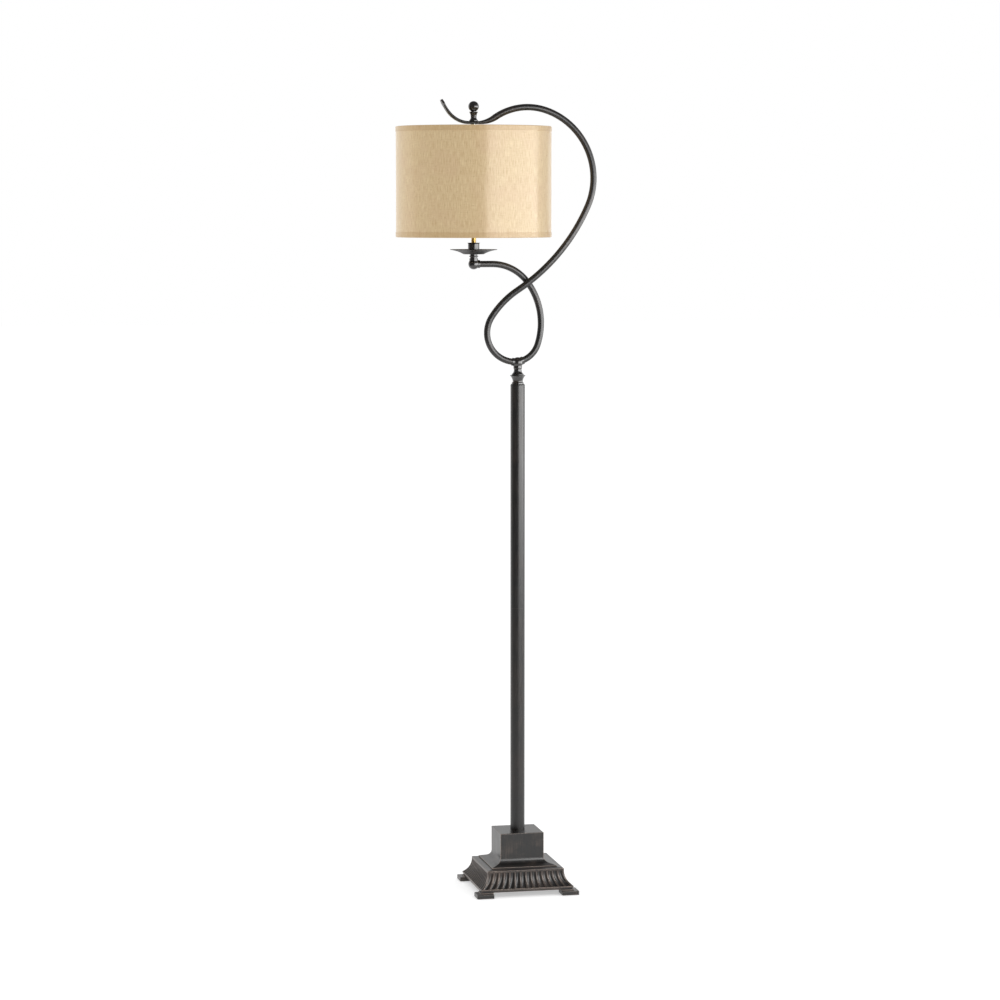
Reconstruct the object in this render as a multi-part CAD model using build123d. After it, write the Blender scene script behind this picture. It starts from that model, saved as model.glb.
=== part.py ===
from build123d import *
import math
import os

# Floor lamp with a square fluted foot, a two-piece pole and two bent arms that cross.
# Millimetres, +Z up, origin on the pole axis at floor level, -Y is the front.

# General values
fit_gap = 0.05
turning_gap = 0.08
cut_over = 5.0

# Feet under the four corners of the foot casting
foot_proud = 9.3
foot_side = 34.35
foot_pad_height = 8.9
foot_rounding = 2.2
riser_inset = 8.5
glide_thickness = 1.5
glide_proud = 1.0
glide_side = 24.0
foot_screw_radius = 2.5
foot_screw_head_radius = 4.5
foot_screw_head_height = 3.0
foot_screw_grip = 14.0
foot_screw_inset = 11.0

# Foot casting: fluted cove between a rim and a plain moulding
rim_underside = 10.5
rim_fascia_height = 3.7
rim_fascia_inset = 1.6
rim_lip_height = 2.6
cove_height = 30.1
cove_radius = 36.0
moulding_half = 77.8
moulding_height = 3.6
top_slope_height = 1.5
top_flat_margin = 1.5
flutes_per_side = 14
flute_depth = 3.0
flute_margin = 2.2
flute_land = 2.4
cove_stations = 5
casting_wall = 5.0
ceiling_thickness = 5.0
corner_boss_radius = 7.0
corner_boss_gap = 0.3
plate_boss_radius = 4.5

# Plinth block with its coved skirt
plinth_half = 44.0
plinth_height = 66.0
skirt_inset = 11.8
skirt_edge_height = 2.2
skirt_rise = 5.8
skirt_cove_radius = 12.0
plinth_wall = 4.0
plinth_edge_rounding = 0.8

# Ballast, cover plate and the pipe that clamps the foot together
weight_margin = 6.0
weight_height = 20.0
plate_gap = 1.2
plate_thickness = 1.5
plate_depth = 2.0
plate_screw_radius = 1.8
plate_screw_head_radius = 3.4
plate_screw_head_height = 1.6
plate_screw_grip = 9.0
plate_screw_inset = 20.35
pipe_radius = 6.5
pipe_bore_radius = 4.6
pipe_hole_radius = 6.8
washer_radius = 16.0
washer_thickness = 1.5
nut_width = 19.0
nut_height = 6.0
pipe_below_nut = 1.5
bushing_flange_radius = 8.0
bushing_flange_height = 1.4
bushing_neck_radius = 5.5
bushing_lip = 1.0

# Pole
pole_radius = 14.3
pole_wall = 1.05
pole_length = 895.6
pole_shoulder = 2.0
bush_length = 16.0
coupler_length = 60.0
coupler_bore_radius = 9.0
neck_spigot_radius = 6.5
neck_spigot_length = 12.0

# Turned neck on top of the pole
neck_ring_radius = 11.9
neck_ring_height = 2.8
neck_waist_radius = 10.0
neck_waist_rise = 1.6
neck_disc_radius = 14.6
neck_disc_rise = 11.3
neck_disc_thickness = 2.2
neck_cone_bow = -1.1
neck_edge_bow = 0.8
neck_bead_radius = 11.2
neck_bead_rise = 2.6
neck_bead_bow = 0.9
neck_throat_radius = 7.8
neck_throat_rise = 6.6
neck_throat_bow = -0.8
neck_throat_length = 2.4
neck_top_radius = 9.0
neck_top_rise = 2.0
neck_bore_radius = 4.6

# Balls that hold the arm tubes
ball_radius = 10.65
ball_seat_drop = 11.2
ball_seat_radius = 8.6
collar_radius = 8.0
collar_reach = 12.0
tube_seat = 5.5

# Arm tubes
tube_radius = 6.35
tube_wall = 1.2
arm_lead_in = 12.5

# Shade arm: heading is read in the X-Z plane from +X, lean tips it towards the front
shade_arm_heading = 172.0
shade_arm_radii = (58.4, 180.0, 375.0, 137.2, 116.9)
shade_arm_headings = (57.6, 34.1, 65.2, 162.6, 214.3)
shade_arm_lean_angles = (2.9, 7.6, -5.6, 0.6, -1.8)
press_radius = 60.0
press_heading = 180.0
flat_length = 18.0
hook_radii = (52.0, 100.0)
hook_headings = (129.0, 117.0)
flat_thickness = 5.7
tip_thickness = 4.2
press_stations = 5
hook_stations = 3
round_split_angle = 10.0

# Candle arm
candle_arm_heading = 22.0
candle_arm_radii = (50.0, 135.5, 89.5)
candle_arm_headings = (72.0, 127.5, 180.0)

# Candle group on the end of the candle arm
candle_neck_radius = 7.4
candle_neck_height = 8.2
candle_ring_radius = 8.7
candle_ring_height = 1.8
candle_ring_bow = 0.7
dish_foot_radius = 20.0
dish_radius = 46.5
dish_height = 9.6
dish_sheet = 1.0
dish_bow_share = 0.68
cup_radius = 11.3
cup_lip_radius = 12.5
cup_lip_height = 2.4
cup_lip_bow = -0.3
cup_height = 21.6
cup_wall = 1.0
nipple_radius = 4.85
nipple_bore_radius = 3.2
nipple_height = 63.0
nipple_grip = 5.0
saddle_radius = 7.5
saddle_height = 3.0

# Socket on the nipple
socket_cap_radius = 17.4
socket_cap_throat_radius = 7.2
socket_cap_throat_height = 5.0
socket_cap_height = 20.0
socket_cap_sheet = 0.8
socket_cap_bow = 1.6
socket_shell_sheet = 0.5
socket_shell_height = 52.0
socket_overlap = 5.0
socket_body_height = 18.0
socket_body_wall_gap = 0.5
screw_shell_radius = 13.9
screw_shell_sheet = 0.4
screw_shell_height = 33.0
contact_radius = 3.2
contact_height = 1.6
knob_stem_radius = 3.0
knob_stem_depth = 8.0
knob_reach = 17.0
knob_radius = 7.2
knob_length = 11.0
knob_flutes = 12
knob_flute_radius = 1.1
knob_height_share = 0.45

# Bulb
bulb_cap_gap = 0.3
bulb_cap_height = 25.0
bulb_cap_sheet = 0.5
bulb_cap_button = 1.0
bulb_cap_taper = 4.0
bulb_radius = 30.0
bulb_length = 105.0
bulb_neck_gap = 0.1
bulb_neck_grip = 4.0
bulb_neck_length = 14.0
bulb_glass_wall = 0.8

# Shade
shade_radius = 153.0
shade_height = 217.0
shade_fabric = 0.5
shade_liner = 0.6
shade_top_drop = 4.6
trim_height = 10.0
trim_sheet = 0.7
trim_flap = 5.0
ring_wire_radius = 1.5
spider_recess = 13.0
spider_arms = 3
spider_arm_radius = 1.4
spider_hub_radius = 11.0
spider_hub_thickness = 2.2

# Stud, spacer, nut and finial that hold the shade on the arm
stud_radius = 3.1
stud_hole_gap = 0.3
spacer_radius = 5.6
spider_nut_radius = 8.0
spider_nut_height = 6.0
spider_nut_flutes = 16
spider_nut_flute_radius = 0.7
stud_below_nut = 2.0
stud_in_finial = 14.0
finial_base_radius = 9.0
finial_base_height = 1.4
finial_waist_radius = 6.0
finial_waist_height = 9.5
finial_flare_radius = 8.3
finial_flare_height = 17.0
finial_flare_edge = 1.2
finial_waist_bow = -1.3
finial_flare_bow = -0.6
finial_edge_bow = 0.4
finial_throat_radius = 5.2
finial_ball_radius = 10.5
finial_ball_height = 28.6

# Lead inside the lamp
lead_radius = 2.0

# Heights that follow from the sizes above
fascia_top = rim_underside + rim_fascia_height
cove_bottom = fascia_top + rim_lip_height
cove_top = cove_bottom + cove_height
moulding_top = cove_top + moulding_height
casting_top = moulding_top + top_slope_height
ceiling = casting_top - ceiling_thickness
plinth_top = casting_top + plinth_height
pole_top = plinth_top + pole_length
pole_seam = plinth_top + pole_length / 2
neck_top = (pole_top + neck_ring_height + neck_waist_rise + neck_disc_rise + neck_disc_thickness
            + neck_bead_rise + neck_throat_rise + neck_throat_length + neck_top_rise)
hub_height = neck_top + ball_seat_drop
plate_top = rim_underside + plate_depth + plate_thickness
weight_bottom = ceiling - weight_height
nut_bottom = weight_bottom - washer_thickness - nut_height
pipe_bottom = nut_bottom - pipe_below_nut
pole_bore = pole_radius - pole_wall
tube_bore = tube_radius - tube_wall


def cove_half(height):
    """Half width of the fluted cove at a height above its bottom edge."""
    drop = cove_height - height
    return moulding_half + cove_radius - math.sqrt(cove_radius ** 2 - drop ** 2)


rim_half = cove_half(0)
foot_reach = rim_half + foot_proud
corner_boss_place = foot_reach - foot_side + foot_screw_inset
plate_half = rim_half - casting_wall - plate_gap
plate_boss_place = plate_half - plate_screw_inset
plate_corner_cut = 2 * (plate_half - corner_boss_place) + math.sqrt(2) * (corner_boss_radius + corner_boss_gap)
skirt_half = moulding_half - skirt_inset
top_flat_half = skirt_half + top_flat_margin
weight_half = skirt_half - weight_margin


def write(name, shape):
    """Write one named piece."""
    os.makedirs("parts", exist_ok=True)
    export_step(shape, os.path.join("parts", name + ".step"))


def turned(points, bows=None):
    """Solid turned about Z from its (radius, height) outline.

    bows gives the rise of the arc that takes the place of the straight line after a point, by the
    point's number. The outline runs up its outer side, so a positive rise swells the piece.
    """
    edges = []
    for index, (radius, height) in enumerate(points):
        start = Vector(radius, 0, height)
        end_radius, end_height = points[(index + 1) % len(points)]
        end = Vector(end_radius, 0, end_height)
        rise = (bows or {}).get(index, 0)
        if rise:
            way = (end - start).normalized()
            edges.append(Edge.make_three_point_arc(start, (start + end) / 2 + Vector(way.Z, 0, -way.X) * rise, end))
        else:
            edges.append(Edge.make_line(start, end))
    return revolve(Face(Wire(edges)), Axis.Z)


def rod(radius, bottom, top):
    """Round bar on the Z axis between two heights."""
    return Pos(0, 0, bottom) * Cylinder(radius, top - bottom, align=(Align.CENTER, Align.CENTER, Align.MIN))


def pipe(radius, bore, bottom, top):
    """Round tube on the Z axis between two heights."""
    return rod(radius, bottom, top) - rod(bore, bottom - cut_over, top + cut_over)


def block(half, bottom, top):
    """Square bar on the Z axis between two heights."""
    return Pos(0, 0, bottom) * Box(2 * half, 2 * half, top - bottom, align=(Align.CENTER, Align.CENTER, Align.MIN))


def corners(place):
    """The four corner places of a square."""
    return [Pos(x * place, y * place, 0) for x in (-1, 1) for y in (-1, 1)]


def sides(place):
    """The four mid-side places of a square."""
    return [Rot(0, 0, quarter * 90) * Pos(place, 0, 0) for quarter in range(4)]


def square_moulding(outline):
    """Square piece whose four sides all follow one (half width, height) outline."""
    reach = max(half for half, height in outline) + cut_over
    mirrored = [(-half, height) for half, height in reversed(outline)]
    loop = Polyline(*[(half, 0, height) for half, height in outline + mirrored], close=True)
    one_way = extrude(make_face(loop), reach, dir=(0, 1, 0), both=True)
    return one_way & (Rot(0, 0, 90) * one_way)


def direction(heading, lean=0.0):
    """Unit vector of a heading in the X-Z plane that tips towards the front by the lean."""
    turn = math.radians(heading)
    tip = math.radians(lean)
    return Vector(math.cos(turn) * math.cos(tip), -math.sin(tip), math.sin(turn) * math.cos(tip))


class Bender:
    """Centre line of a tube, made the way a bender makes it: runs and bends."""

    def __init__(self, start, heading):
        self.place = Vector(*start)
        self.way = direction(heading)
        self.edges = []

    def run(self, length):
        """Straight run along the present direction."""
        end = self.place + self.way * length
        self.edges.append(Edge.make_line(self.place, end))
        self.place = end
        return self

    def point(self, radius, towards, share):
        """Place and direction at a share of the bend to a new direction."""
        angle = self.way.get_angle(towards) * math.pi / 180
        inward = (towards - self.way * math.cos(angle)).normalized()
        part = angle * share
        place = self.place + (self.way * math.sin(part) + inward * (1 - math.cos(part))) * radius
        return place, self.way * math.cos(part) + inward * math.sin(part)

    def bend(self, radius, heading, lean=0.0):
        """Bend of one radius until the tube points along the new direction."""
        towards = direction(heading, lean)
        middle = self.point(radius, towards, 1 / 2)[0]
        end = self.point(radius, towards, 1)[0]
        self.edges.append(Edge.make_three_point_arc(self.place, middle, end))
        self.place = end
        self.way = towards
        return self

    def wire(self):
        """The whole centre line."""
        return Wire(self.edges)


def swept(path, radius, bore=0.0):
    """Round bar or tube along a centre line."""
    start = Plane(origin=path @ 0, z_dir=path % 0)
    bar = sweep(start * Circle(radius), path=path)
    if bore > 0:
        bar = bar - sweep(start * Circle(bore), path=path)
    return bar


# Foot

def fluted_outline(half, height):
    """Square outline with a row of hollows along each side."""
    scale = half / moulding_half
    pitch = 2 * (half - flute_margin * scale) / flutes_per_side
    hollow = pitch - flute_land * scale
    edges = []
    for quarter in range(4):
        turn = Rot(0, 0, quarter * 90)
        last = Vector(half, -half, height)
        for step in range(flutes_per_side):
            middle = (step - (flutes_per_side - 1) / 2) * pitch
            low = Vector(half, middle - hollow / 2, height)
            deep = Vector(half - flute_depth * scale, middle, height)
            high = Vector(half, middle + hollow / 2, height)
            edges.append(turn * Edge.make_line(last, low))
            edges.append(turn * Edge.make_three_point_arc(low, deep, high))
            last = high
        edges.append(turn * Edge.make_line(last, Vector(half, half, height)))
    return Wire(edges)


def fluted_cove():
    """Cove of the foot casting with its flutes, which fan out towards the rim."""
    widest = math.asin(cove_height / cove_radius)
    outlines = []
    for station in range(cove_stations):
        angle = widest * (1 - station / (cove_stations - 1))
        height = cove_height - cove_radius * math.sin(angle)
        outlines.append(fluted_outline(cove_half(height), cove_bottom + height))
    return Solid.make_loft(outlines)


def cove_points(inset):
    """Points of the cove moved inwards, from the rim up."""
    widest = math.asin(cove_height / cove_radius)
    points = []
    for station in range(cove_stations):
        angle = widest * (1 - station / (cove_stations - 1))
        radius = cove_radius + inset
        half = moulding_half + cove_radius - radius * math.cos(angle)
        points.append((half, cove_top - radius * math.sin(angle)))
    return points


def base_casting():
    """Hollow foot casting: rim, fluted cove, moulding and sloped top."""
    fascia = block(rim_half - rim_fascia_inset, rim_underside, fascia_top)
    lip = fillet(block(rim_half, fascia_top, cove_bottom).edges() | Axis.Z, rim_lip_height / 3)
    moulding = square_moulding([
        (moulding_half, cove_top),
        (moulding_half, moulding_top - top_slope_height / 3),
        (moulding_half - top_slope_height / 3, moulding_top),
        (top_flat_half, casting_top),
    ])
    casting = fascia + lip + fluted_cove() + moulding
    inner = [point for point in cove_points(casting_wall) if point[1] > fascia_top and point[1] < ceiling]
    mouth = (rim_half - casting_wall, rim_underside - cut_over)
    brow = (rim_half - casting_wall, fascia_top)
    hollow = square_moulding([mouth, brow] + inner + [(moulding_half - casting_wall, ceiling)])
    for place in corners(corner_boss_place):
        hollow -= place * rod(corner_boss_radius, rim_underside, ceiling)
    for place in sides(plate_boss_place):
        hollow -= place * rod(plate_boss_radius, plate_top, ceiling)
    casting -= hollow
    casting -= rod(pipe_hole_radius, ceiling - cut_over, casting_top + cut_over)
    for place in corners(corner_boss_place):
        casting -= place * rod(foot_screw_radius + fit_gap, rim_underside - cut_over, screw_tip)
    for place in sides(plate_boss_place):
        casting -= place * rod(plate_screw_radius + fit_gap, plate_top - cut_over, plate_screw_tip)
    return casting


screw_tip = rim_underside + foot_screw_grip
plate_screw_tip = plate_top + plate_screw_grip


def foot():
    """Corner foot: rounded pad with a riser that meets the rim."""
    middle = foot_reach - foot_side / 2
    pad = Box(foot_side, foot_side, foot_pad_height - glide_proud, align=(Align.CENTER, Align.CENTER, Align.MIN))
    pad = fillet(pad.edges() | Axis.Z, foot_rounding)
    pad = fillet(pad.faces().sort_by(Axis.Z)[-1].edges(), foot_rounding / 2)
    pad = Pos(middle, middle, glide_proud) * pad
    inner = foot_reach - foot_side
    outer = foot_reach - riser_inset
    riser = Box(outer - inner, outer - inner, rim_underside - glide_proud,
                align=(Align.MIN, Align.MIN, Align.MIN))
    piece = pad + Pos(inner, inner, glide_proud) * riser
    screw = Pos(corner_boss_place, corner_boss_place, 0)
    piece -= screw * rod(foot_screw_radius + fit_gap, -cut_over, rim_underside + cut_over)
    piece -= screw * rod(foot_screw_head_radius + fit_gap, -cut_over, screw_head_top)
    return piece - Pos(middle, middle, 0) * glide_pocket(fit_gap)


screw_head_top = glide_thickness + foot_screw_head_height


def glide_pocket(gap):
    """Square felt glide, or with a gap the shallow pocket that it is glued in."""
    side = glide_side + 2 * gap
    return fillet(
        Box(side, side, glide_thickness, align=(Align.CENTER, Align.CENTER, Align.MIN)).edges() | Axis.Z,
        foot_rounding,
    )


def foot_corner(name):
    """Quarter turns that bring the rear right foot to a named corner."""
    order = ("rear_right", "rear_left", "front_left", "front_right")
    return Rot(0, 0, 90 * order.index(name))


def four_corners(shape):
    """The same solid at each of the four corners."""
    return Compound(children=[Rot(0, 0, quarter * 90) * shape for quarter in range(4)])


def foot_screws():
    """Screws that hold the feet on the corner bosses."""
    screw = rod(foot_screw_radius, glide_thickness, screw_tip - fit_gap)
    screw += rod(foot_screw_head_radius, glide_thickness, screw_head_top)
    return four_corners(Pos(corner_boss_place, corner_boss_place, 0) * screw)


def plate_screws():
    """Screws that hold the cover plate on its bosses."""
    seat = plate_top - plate_thickness
    screw = rod(plate_screw_radius, seat, plate_screw_tip - fit_gap)
    screw += rod(plate_screw_head_radius, seat - plate_screw_head_height, seat)
    return four_corners(Pos(plate_boss_place, 0, 0) * screw)


def bottom_plate():
    """Cover plate under the hollow foot, cut back at the corner bosses."""
    plate = block(plate_half, plate_top - plate_thickness, plate_top)
    plate = chamfer(plate.edges() | Axis.Z, plate_corner_cut)
    plate -= rod(bushing_neck_radius + fit_gap, rim_underside, plate_top + cut_over)
    for place in sides(plate_boss_place):
        plate -= place * rod(plate_screw_radius + fit_gap, rim_underside, plate_top + cut_over)
    return plate


def cord_bushing():
    """Rubber bushing in the middle of the cover plate, where the supply lead comes in."""
    seat = plate_top - plate_thickness
    bore = lead_radius + fit_gap
    return turned([
        (bore, seat - bushing_flange_height),
        (bushing_flange_radius, seat - bushing_flange_height),
        (bushing_flange_radius, seat),
        (bushing_neck_radius, seat),
        (bushing_neck_radius, plate_top),
        (bushing_neck_radius + bushing_lip, plate_top),
        (bushing_neck_radius, plate_top + bushing_lip),
        (bore, plate_top + bushing_lip),
    ])


def plinth_block():
    """Hollow square block on a coved skirt."""
    skirt_bottom = casting_top
    edge_top = skirt_bottom + skirt_edge_height
    shape = square_moulding([
        (skirt_half, skirt_bottom),
        (skirt_half, edge_top),
        (plinth_half, edge_top + skirt_rise),
        (plinth_half, plinth_top),
    ])
    inner_edges = [
        edge for edge in shape.edges()
        if abs(edge.center().Z - edge_top - skirt_rise) < fit_gap and abs(edge.tangent_at(0).Z) < fit_gap
    ]
    shape = fillet(inner_edges, skirt_cove_radius)
    top_edges = shape.faces().sort_by(Axis.Z)[-1].edges()
    shape = fillet(top_edges, plinth_edge_rounding)
    shape -= block(plinth_half - plinth_wall, skirt_bottom - cut_over, plinth_top - plinth_wall)
    return shape - rod(pipe_hole_radius, skirt_bottom, plinth_top + cut_over)


def base_weight():
    """Cast ballast block clamped under the ceiling of the foot."""
    weight = chamfer(block(weight_half, weight_bottom, ceiling).edges() | Axis.Z, plate_boss_radius)
    return weight - rod(pipe_hole_radius, weight_bottom - cut_over, ceiling + cut_over)


def base_nut():
    """Hexagon nut on the clamping pipe."""
    nut = extrude(RegularPolygon(nut_width / 2, 6, major_radius=False), nut_height)
    return Pos(0, 0, nut_bottom) * nut - rod(pipe_radius + fit_gap, nut_bottom - cut_over, ceiling)


# Pole

def pole_lower():
    """Lower half of the pole."""
    return pipe(pole_radius, pole_bore, plinth_top, pole_seam)


def pole_upper():
    """Upper half of the pole, its end turned in over the neck."""
    outline = [
        (pole_bore, pole_seam),
        (pole_radius, pole_seam),
        (pole_radius, pole_top - pole_shoulder),
        (pole_radius - pole_shoulder / 3, pole_top - pole_shoulder / 3),
        (pole_radius - pole_wall, pole_top),
        (neck_ring_radius + fit_gap, pole_top),
        (neck_ring_radius + fit_gap, pole_top - pole_wall),
        (pole_bore, pole_top - pole_wall),
    ]
    return turned(outline)


def pole_bush(bottom, hole):
    """Threaded bush fixed in an end of the pole."""
    return pipe(pole_bore - fit_gap, hole + fit_gap, bottom, bottom + bush_length)


neck_seat = pole_top - pole_wall
top_bush_bottom = neck_seat - bush_length


def pole_neck():
    """Turned neck between the pole and the ball: ring, cone, disc, bead and throat."""
    height = neck_seat - neck_spigot_length
    points = [(neck_bore_radius, height), (neck_spigot_radius, height), (neck_spigot_radius, neck_seat)]
    bows = {}
    points.append((neck_ring_radius, neck_seat))
    height = pole_top + neck_ring_height
    points.append((neck_ring_radius, height))
    height += neck_waist_rise
    points.append((neck_waist_radius, height))
    bows[len(points) - 1] = neck_cone_bow
    height += neck_disc_rise
    points.append((neck_disc_radius, height))
    bows[len(points) - 1] = neck_edge_bow
    height += neck_disc_thickness
    points.append((neck_disc_radius, height))
    points.append((neck_bead_radius, height))
    bows[len(points) - 1] = neck_bead_bow
    height += neck_bead_rise
    points.append((neck_bead_radius, height))
    bows[len(points) - 1] = neck_throat_bow
    height += neck_throat_rise
    points.append((neck_throat_radius, height))
    height += neck_throat_length
    points.append((neck_throat_radius, height))
    points.append((neck_top_radius, neck_top))
    points.append((neck_bore_radius, neck_top))
    return turned(points, bows)


# Arms

def bent(bender, radii, headings, leans):
    """Add a row of bends to a centre line."""
    for radius, heading, lean in zip(radii, headings, leans):
        bender.bend(radius, heading, lean)
    return bender


hub_place = (0, 0, hub_height)
shade_bends = bent(
    Bender(hub_place, shade_arm_heading).run(arm_lead_in), shade_arm_radii, shade_arm_headings, shade_arm_lean_angles)
press_end = shade_bends.point(press_radius, direction(press_heading), 1)[0]
finial_place = press_end + direction(press_heading) * (flat_length / 2)
axis_x = finial_place.X
axis_y = finial_place.Y
strip_height = finial_place.Z
candle_turns = bent(
    Bender(hub_place, candle_arm_heading).run(arm_lead_in), candle_arm_radii, candle_arm_headings, (0, 0, 0))
candle_height = candle_turns.place.Z


def candle_line(start_gap, end_gap):
    """Centre line of the candle arm from near the hub to near the candle ball."""
    start = Vector(*hub_place) + direction(candle_arm_heading) * start_gap
    line = Bender((start.X, start.Y, start.Z), candle_arm_heading).run(arm_lead_in - start_gap)
    bent(line, candle_arm_radii, candle_arm_headings, (0, 0, 0))
    return line.run(line.place.X - axis_x - end_gap)


def candle_arm():
    """Hollow candle arm, which carries the lead."""
    return swept(candle_line(tube_seat, tube_seat).wire(), tube_radius, tube_bore)


def pressed_width(thickness):
    """Width of the tube when it is pressed to a thickness, its girth unchanged."""
    return thickness + math.pi * (2 * tube_radius - thickness) / 2


def round_section(place, way):
    """Round section of the tube, split where the flat sides begin."""
    plane = Plane(origin=place, x_dir=(0, 1, 0), z_dir=way)
    reach = tube_radius * math.sin(math.radians(round_split_angle))
    rise = tube_radius * math.cos(math.radians(round_split_angle))
    marks = [(reach, rise), (-reach, rise), (-reach, -rise), (reach, -rise)]
    middles = [(0, tube_radius), (-tube_radius, 0), (0, -tube_radius), (tube_radius, 0)]
    edges = []
    for index, middle in enumerate(middles):
        start = plane.from_local_coords(Vector(*marks[index]))
        end = plane.from_local_coords(Vector(*marks[(index + 1) % 4]))
        edges.append(Edge.make_three_point_arc(start, plane.from_local_coords(Vector(*middle)), end))
    return Wire(edges)


def flat_section(place, way, thickness):
    """Pressed section with round edges."""
    plane = Plane(origin=place, x_dir=(0, 1, 0), z_dir=way)
    reach = (pressed_width(thickness) - thickness) / 2
    rise = thickness / 2
    marks = [Vector(reach, rise), Vector(-reach, rise), Vector(-reach, -rise), Vector(reach, -rise)]
    marks = [plane.from_local_coords(mark) for mark in marks]
    left = plane.from_local_coords(Vector(-reach - rise, 0))
    right = plane.from_local_coords(Vector(reach + rise, 0))
    return Wire([
        Edge.make_line(marks[0], marks[1]),
        Edge.make_three_point_arc(marks[1], left, marks[2]),
        Edge.make_line(marks[2], marks[3]),
        Edge.make_three_point_arc(marks[3], right, marks[0]),
    ])


def shade_arm():
    """Shade arm: hollow tube that is pressed flat over the shade and ends in a hook."""
    start = Vector(*hub_place) + direction(shade_arm_heading) * tube_seat
    line = Bender((start.X, start.Y, start.Z), shade_arm_heading).run(arm_lead_in - tube_seat)
    bent(line, shade_arm_radii, shade_arm_headings, shade_arm_lean_angles)
    arm = swept(line.wire(), tube_radius, tube_bore)
    press_way = direction(press_heading)
    sections = [round_section(line.place, line.way)]
    for station in range(1, press_stations):
        share = station / (press_stations - 1)
        place, way = line.point(press_radius, press_way, share)
        sections.append(flat_section(place, way, 2 * tube_radius + (flat_thickness - 2 * tube_radius) * share))
    arm += Solid.make_loft(sections)
    line.bend(press_radius, press_heading)
    flat_face = Face(flat_section(line.place, line.way, flat_thickness))
    arm += extrude(flat_face, flat_length, dir=press_way)
    line.run(flat_length)
    sections = []
    middle = flat_thickness + (tip_thickness - flat_thickness) / 2
    for radius, heading, start, end in zip(
            hook_radii, hook_headings, (flat_thickness, middle), (middle, tip_thickness)):
        for station in range(hook_stations):
            share = station / (hook_stations - 1)
            place, way = line.point(radius, direction(heading), share)
            if station or not sections:
                sections.append(flat_section(place, way, start + (end - start) * share))
        line.bend(radius, heading)
    arm += Solid.make_loft(sections)
    tip_plane = Plane(origin=line.place, x_dir=(0, 1, 0), z_dir=line.way)
    across = Plane(origin=line.place, x_dir=(0, 1, 0), z_dir=tip_plane.y_dir)
    tip = across * Cylinder(pressed_width(tip_thickness) / 2, tip_thickness)
    arm += tip
    hole = stud_radius + stud_hole_gap
    return arm - Pos(axis_x, axis_y, 0) * rod(hole, strip_height - flat_thickness, strip_height + flat_thickness)


def arm_ball(place, way_out, seat_sign):
    """Ball with a flat seat above or below and a collar round one arm tube."""
    ball = Sphere(ball_radius)
    seat = rod(ball_seat_radius, 0, ball_seat_drop)
    if seat_sign < 0:
        seat = rod(ball_seat_radius, -ball_seat_drop, 0)
    ball = ball + seat
    for way in way_out:
        ball += Plane(origin=(0, 0, 0), z_dir=way) * rod(collar_radius, 0, collar_reach)
    for way in way_out:
        lane = Plane(origin=(0, 0, 0), z_dir=way)
        ball -= lane * rod(tube_radius + fit_gap, tube_seat, collar_reach + cut_over)
        ball -= lane * rod(tube_bore, 0, collar_reach)
    return Pos(*place) * ball


def arm_hub():
    """Ball on the neck that both arms come out of."""
    hub = arm_ball(hub_place, [direction(shade_arm_heading), direction(candle_arm_heading)], -1)
    return hub - rod(neck_bore_radius, neck_top - cut_over, hub_height)


def candle_ball():
    """Ball at the end of the candle arm, tapped for the nipple."""
    ball = arm_ball((axis_x, 0, candle_height), [Vector(1, 0, 0)], 1)
    return ball - Pos(axis_x, 0, 0) * rod(nipple_radius + fit_gap, candle_height, candle_height + 2 * ball_radius)


# Candle group, built about its own axis and then moved over the candle ball

candle_seat = candle_height + ball_seat_drop
dish_bottom = candle_seat + candle_neck_height
cup_bottom = dish_bottom + dish_sheet
cup_top = cup_bottom + cup_height
nipple_bottom = candle_height + tube_seat + fit_gap
nipple_top = nipple_bottom + nipple_height
saddle_bottom = cup_bottom + cup_wall
socket_bottom = nipple_top - nipple_grip
cap_top = socket_bottom + socket_cap_height
shell_bottom = cap_top - socket_overlap
shell_top = shell_bottom + socket_shell_height
body_bottom = shell_bottom
body_top = body_bottom + socket_body_height
shell_radius = socket_cap_radius - socket_cap_sheet - fit_gap
body_radius = shell_radius - socket_shell_sheet - socket_body_wall_gap
knob_height = body_bottom + socket_body_height * knob_height_share
contact_top = body_top + contact_height
bulb_cap_radius = screw_shell_radius - screw_shell_sheet - bulb_cap_gap
bulb_bottom = contact_top + fit_gap


def at_candle(shape):
    """Move a piece from the Z axis to the candle axis."""
    return Pos(axis_x, 0, 0) * shape


def candle_neck():
    """Turned spacer with a ring between the ball and the dish."""
    bore = nipple_radius + fit_gap
    ring_bottom = candle_seat + (candle_neck_height - candle_ring_height) / 2
    ring_top = ring_bottom + candle_ring_height
    return at_candle(turned([
        (bore, candle_seat),
        (candle_neck_radius, candle_seat),
        (candle_neck_radius, ring_bottom),
        (candle_ring_radius, ring_bottom),
        (candle_ring_radius, ring_top),
        (candle_neck_radius, ring_top),
        (candle_neck_radius, dish_bottom),
        (bore, dish_bottom),
    ], {3: candle_ring_bow}))


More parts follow.
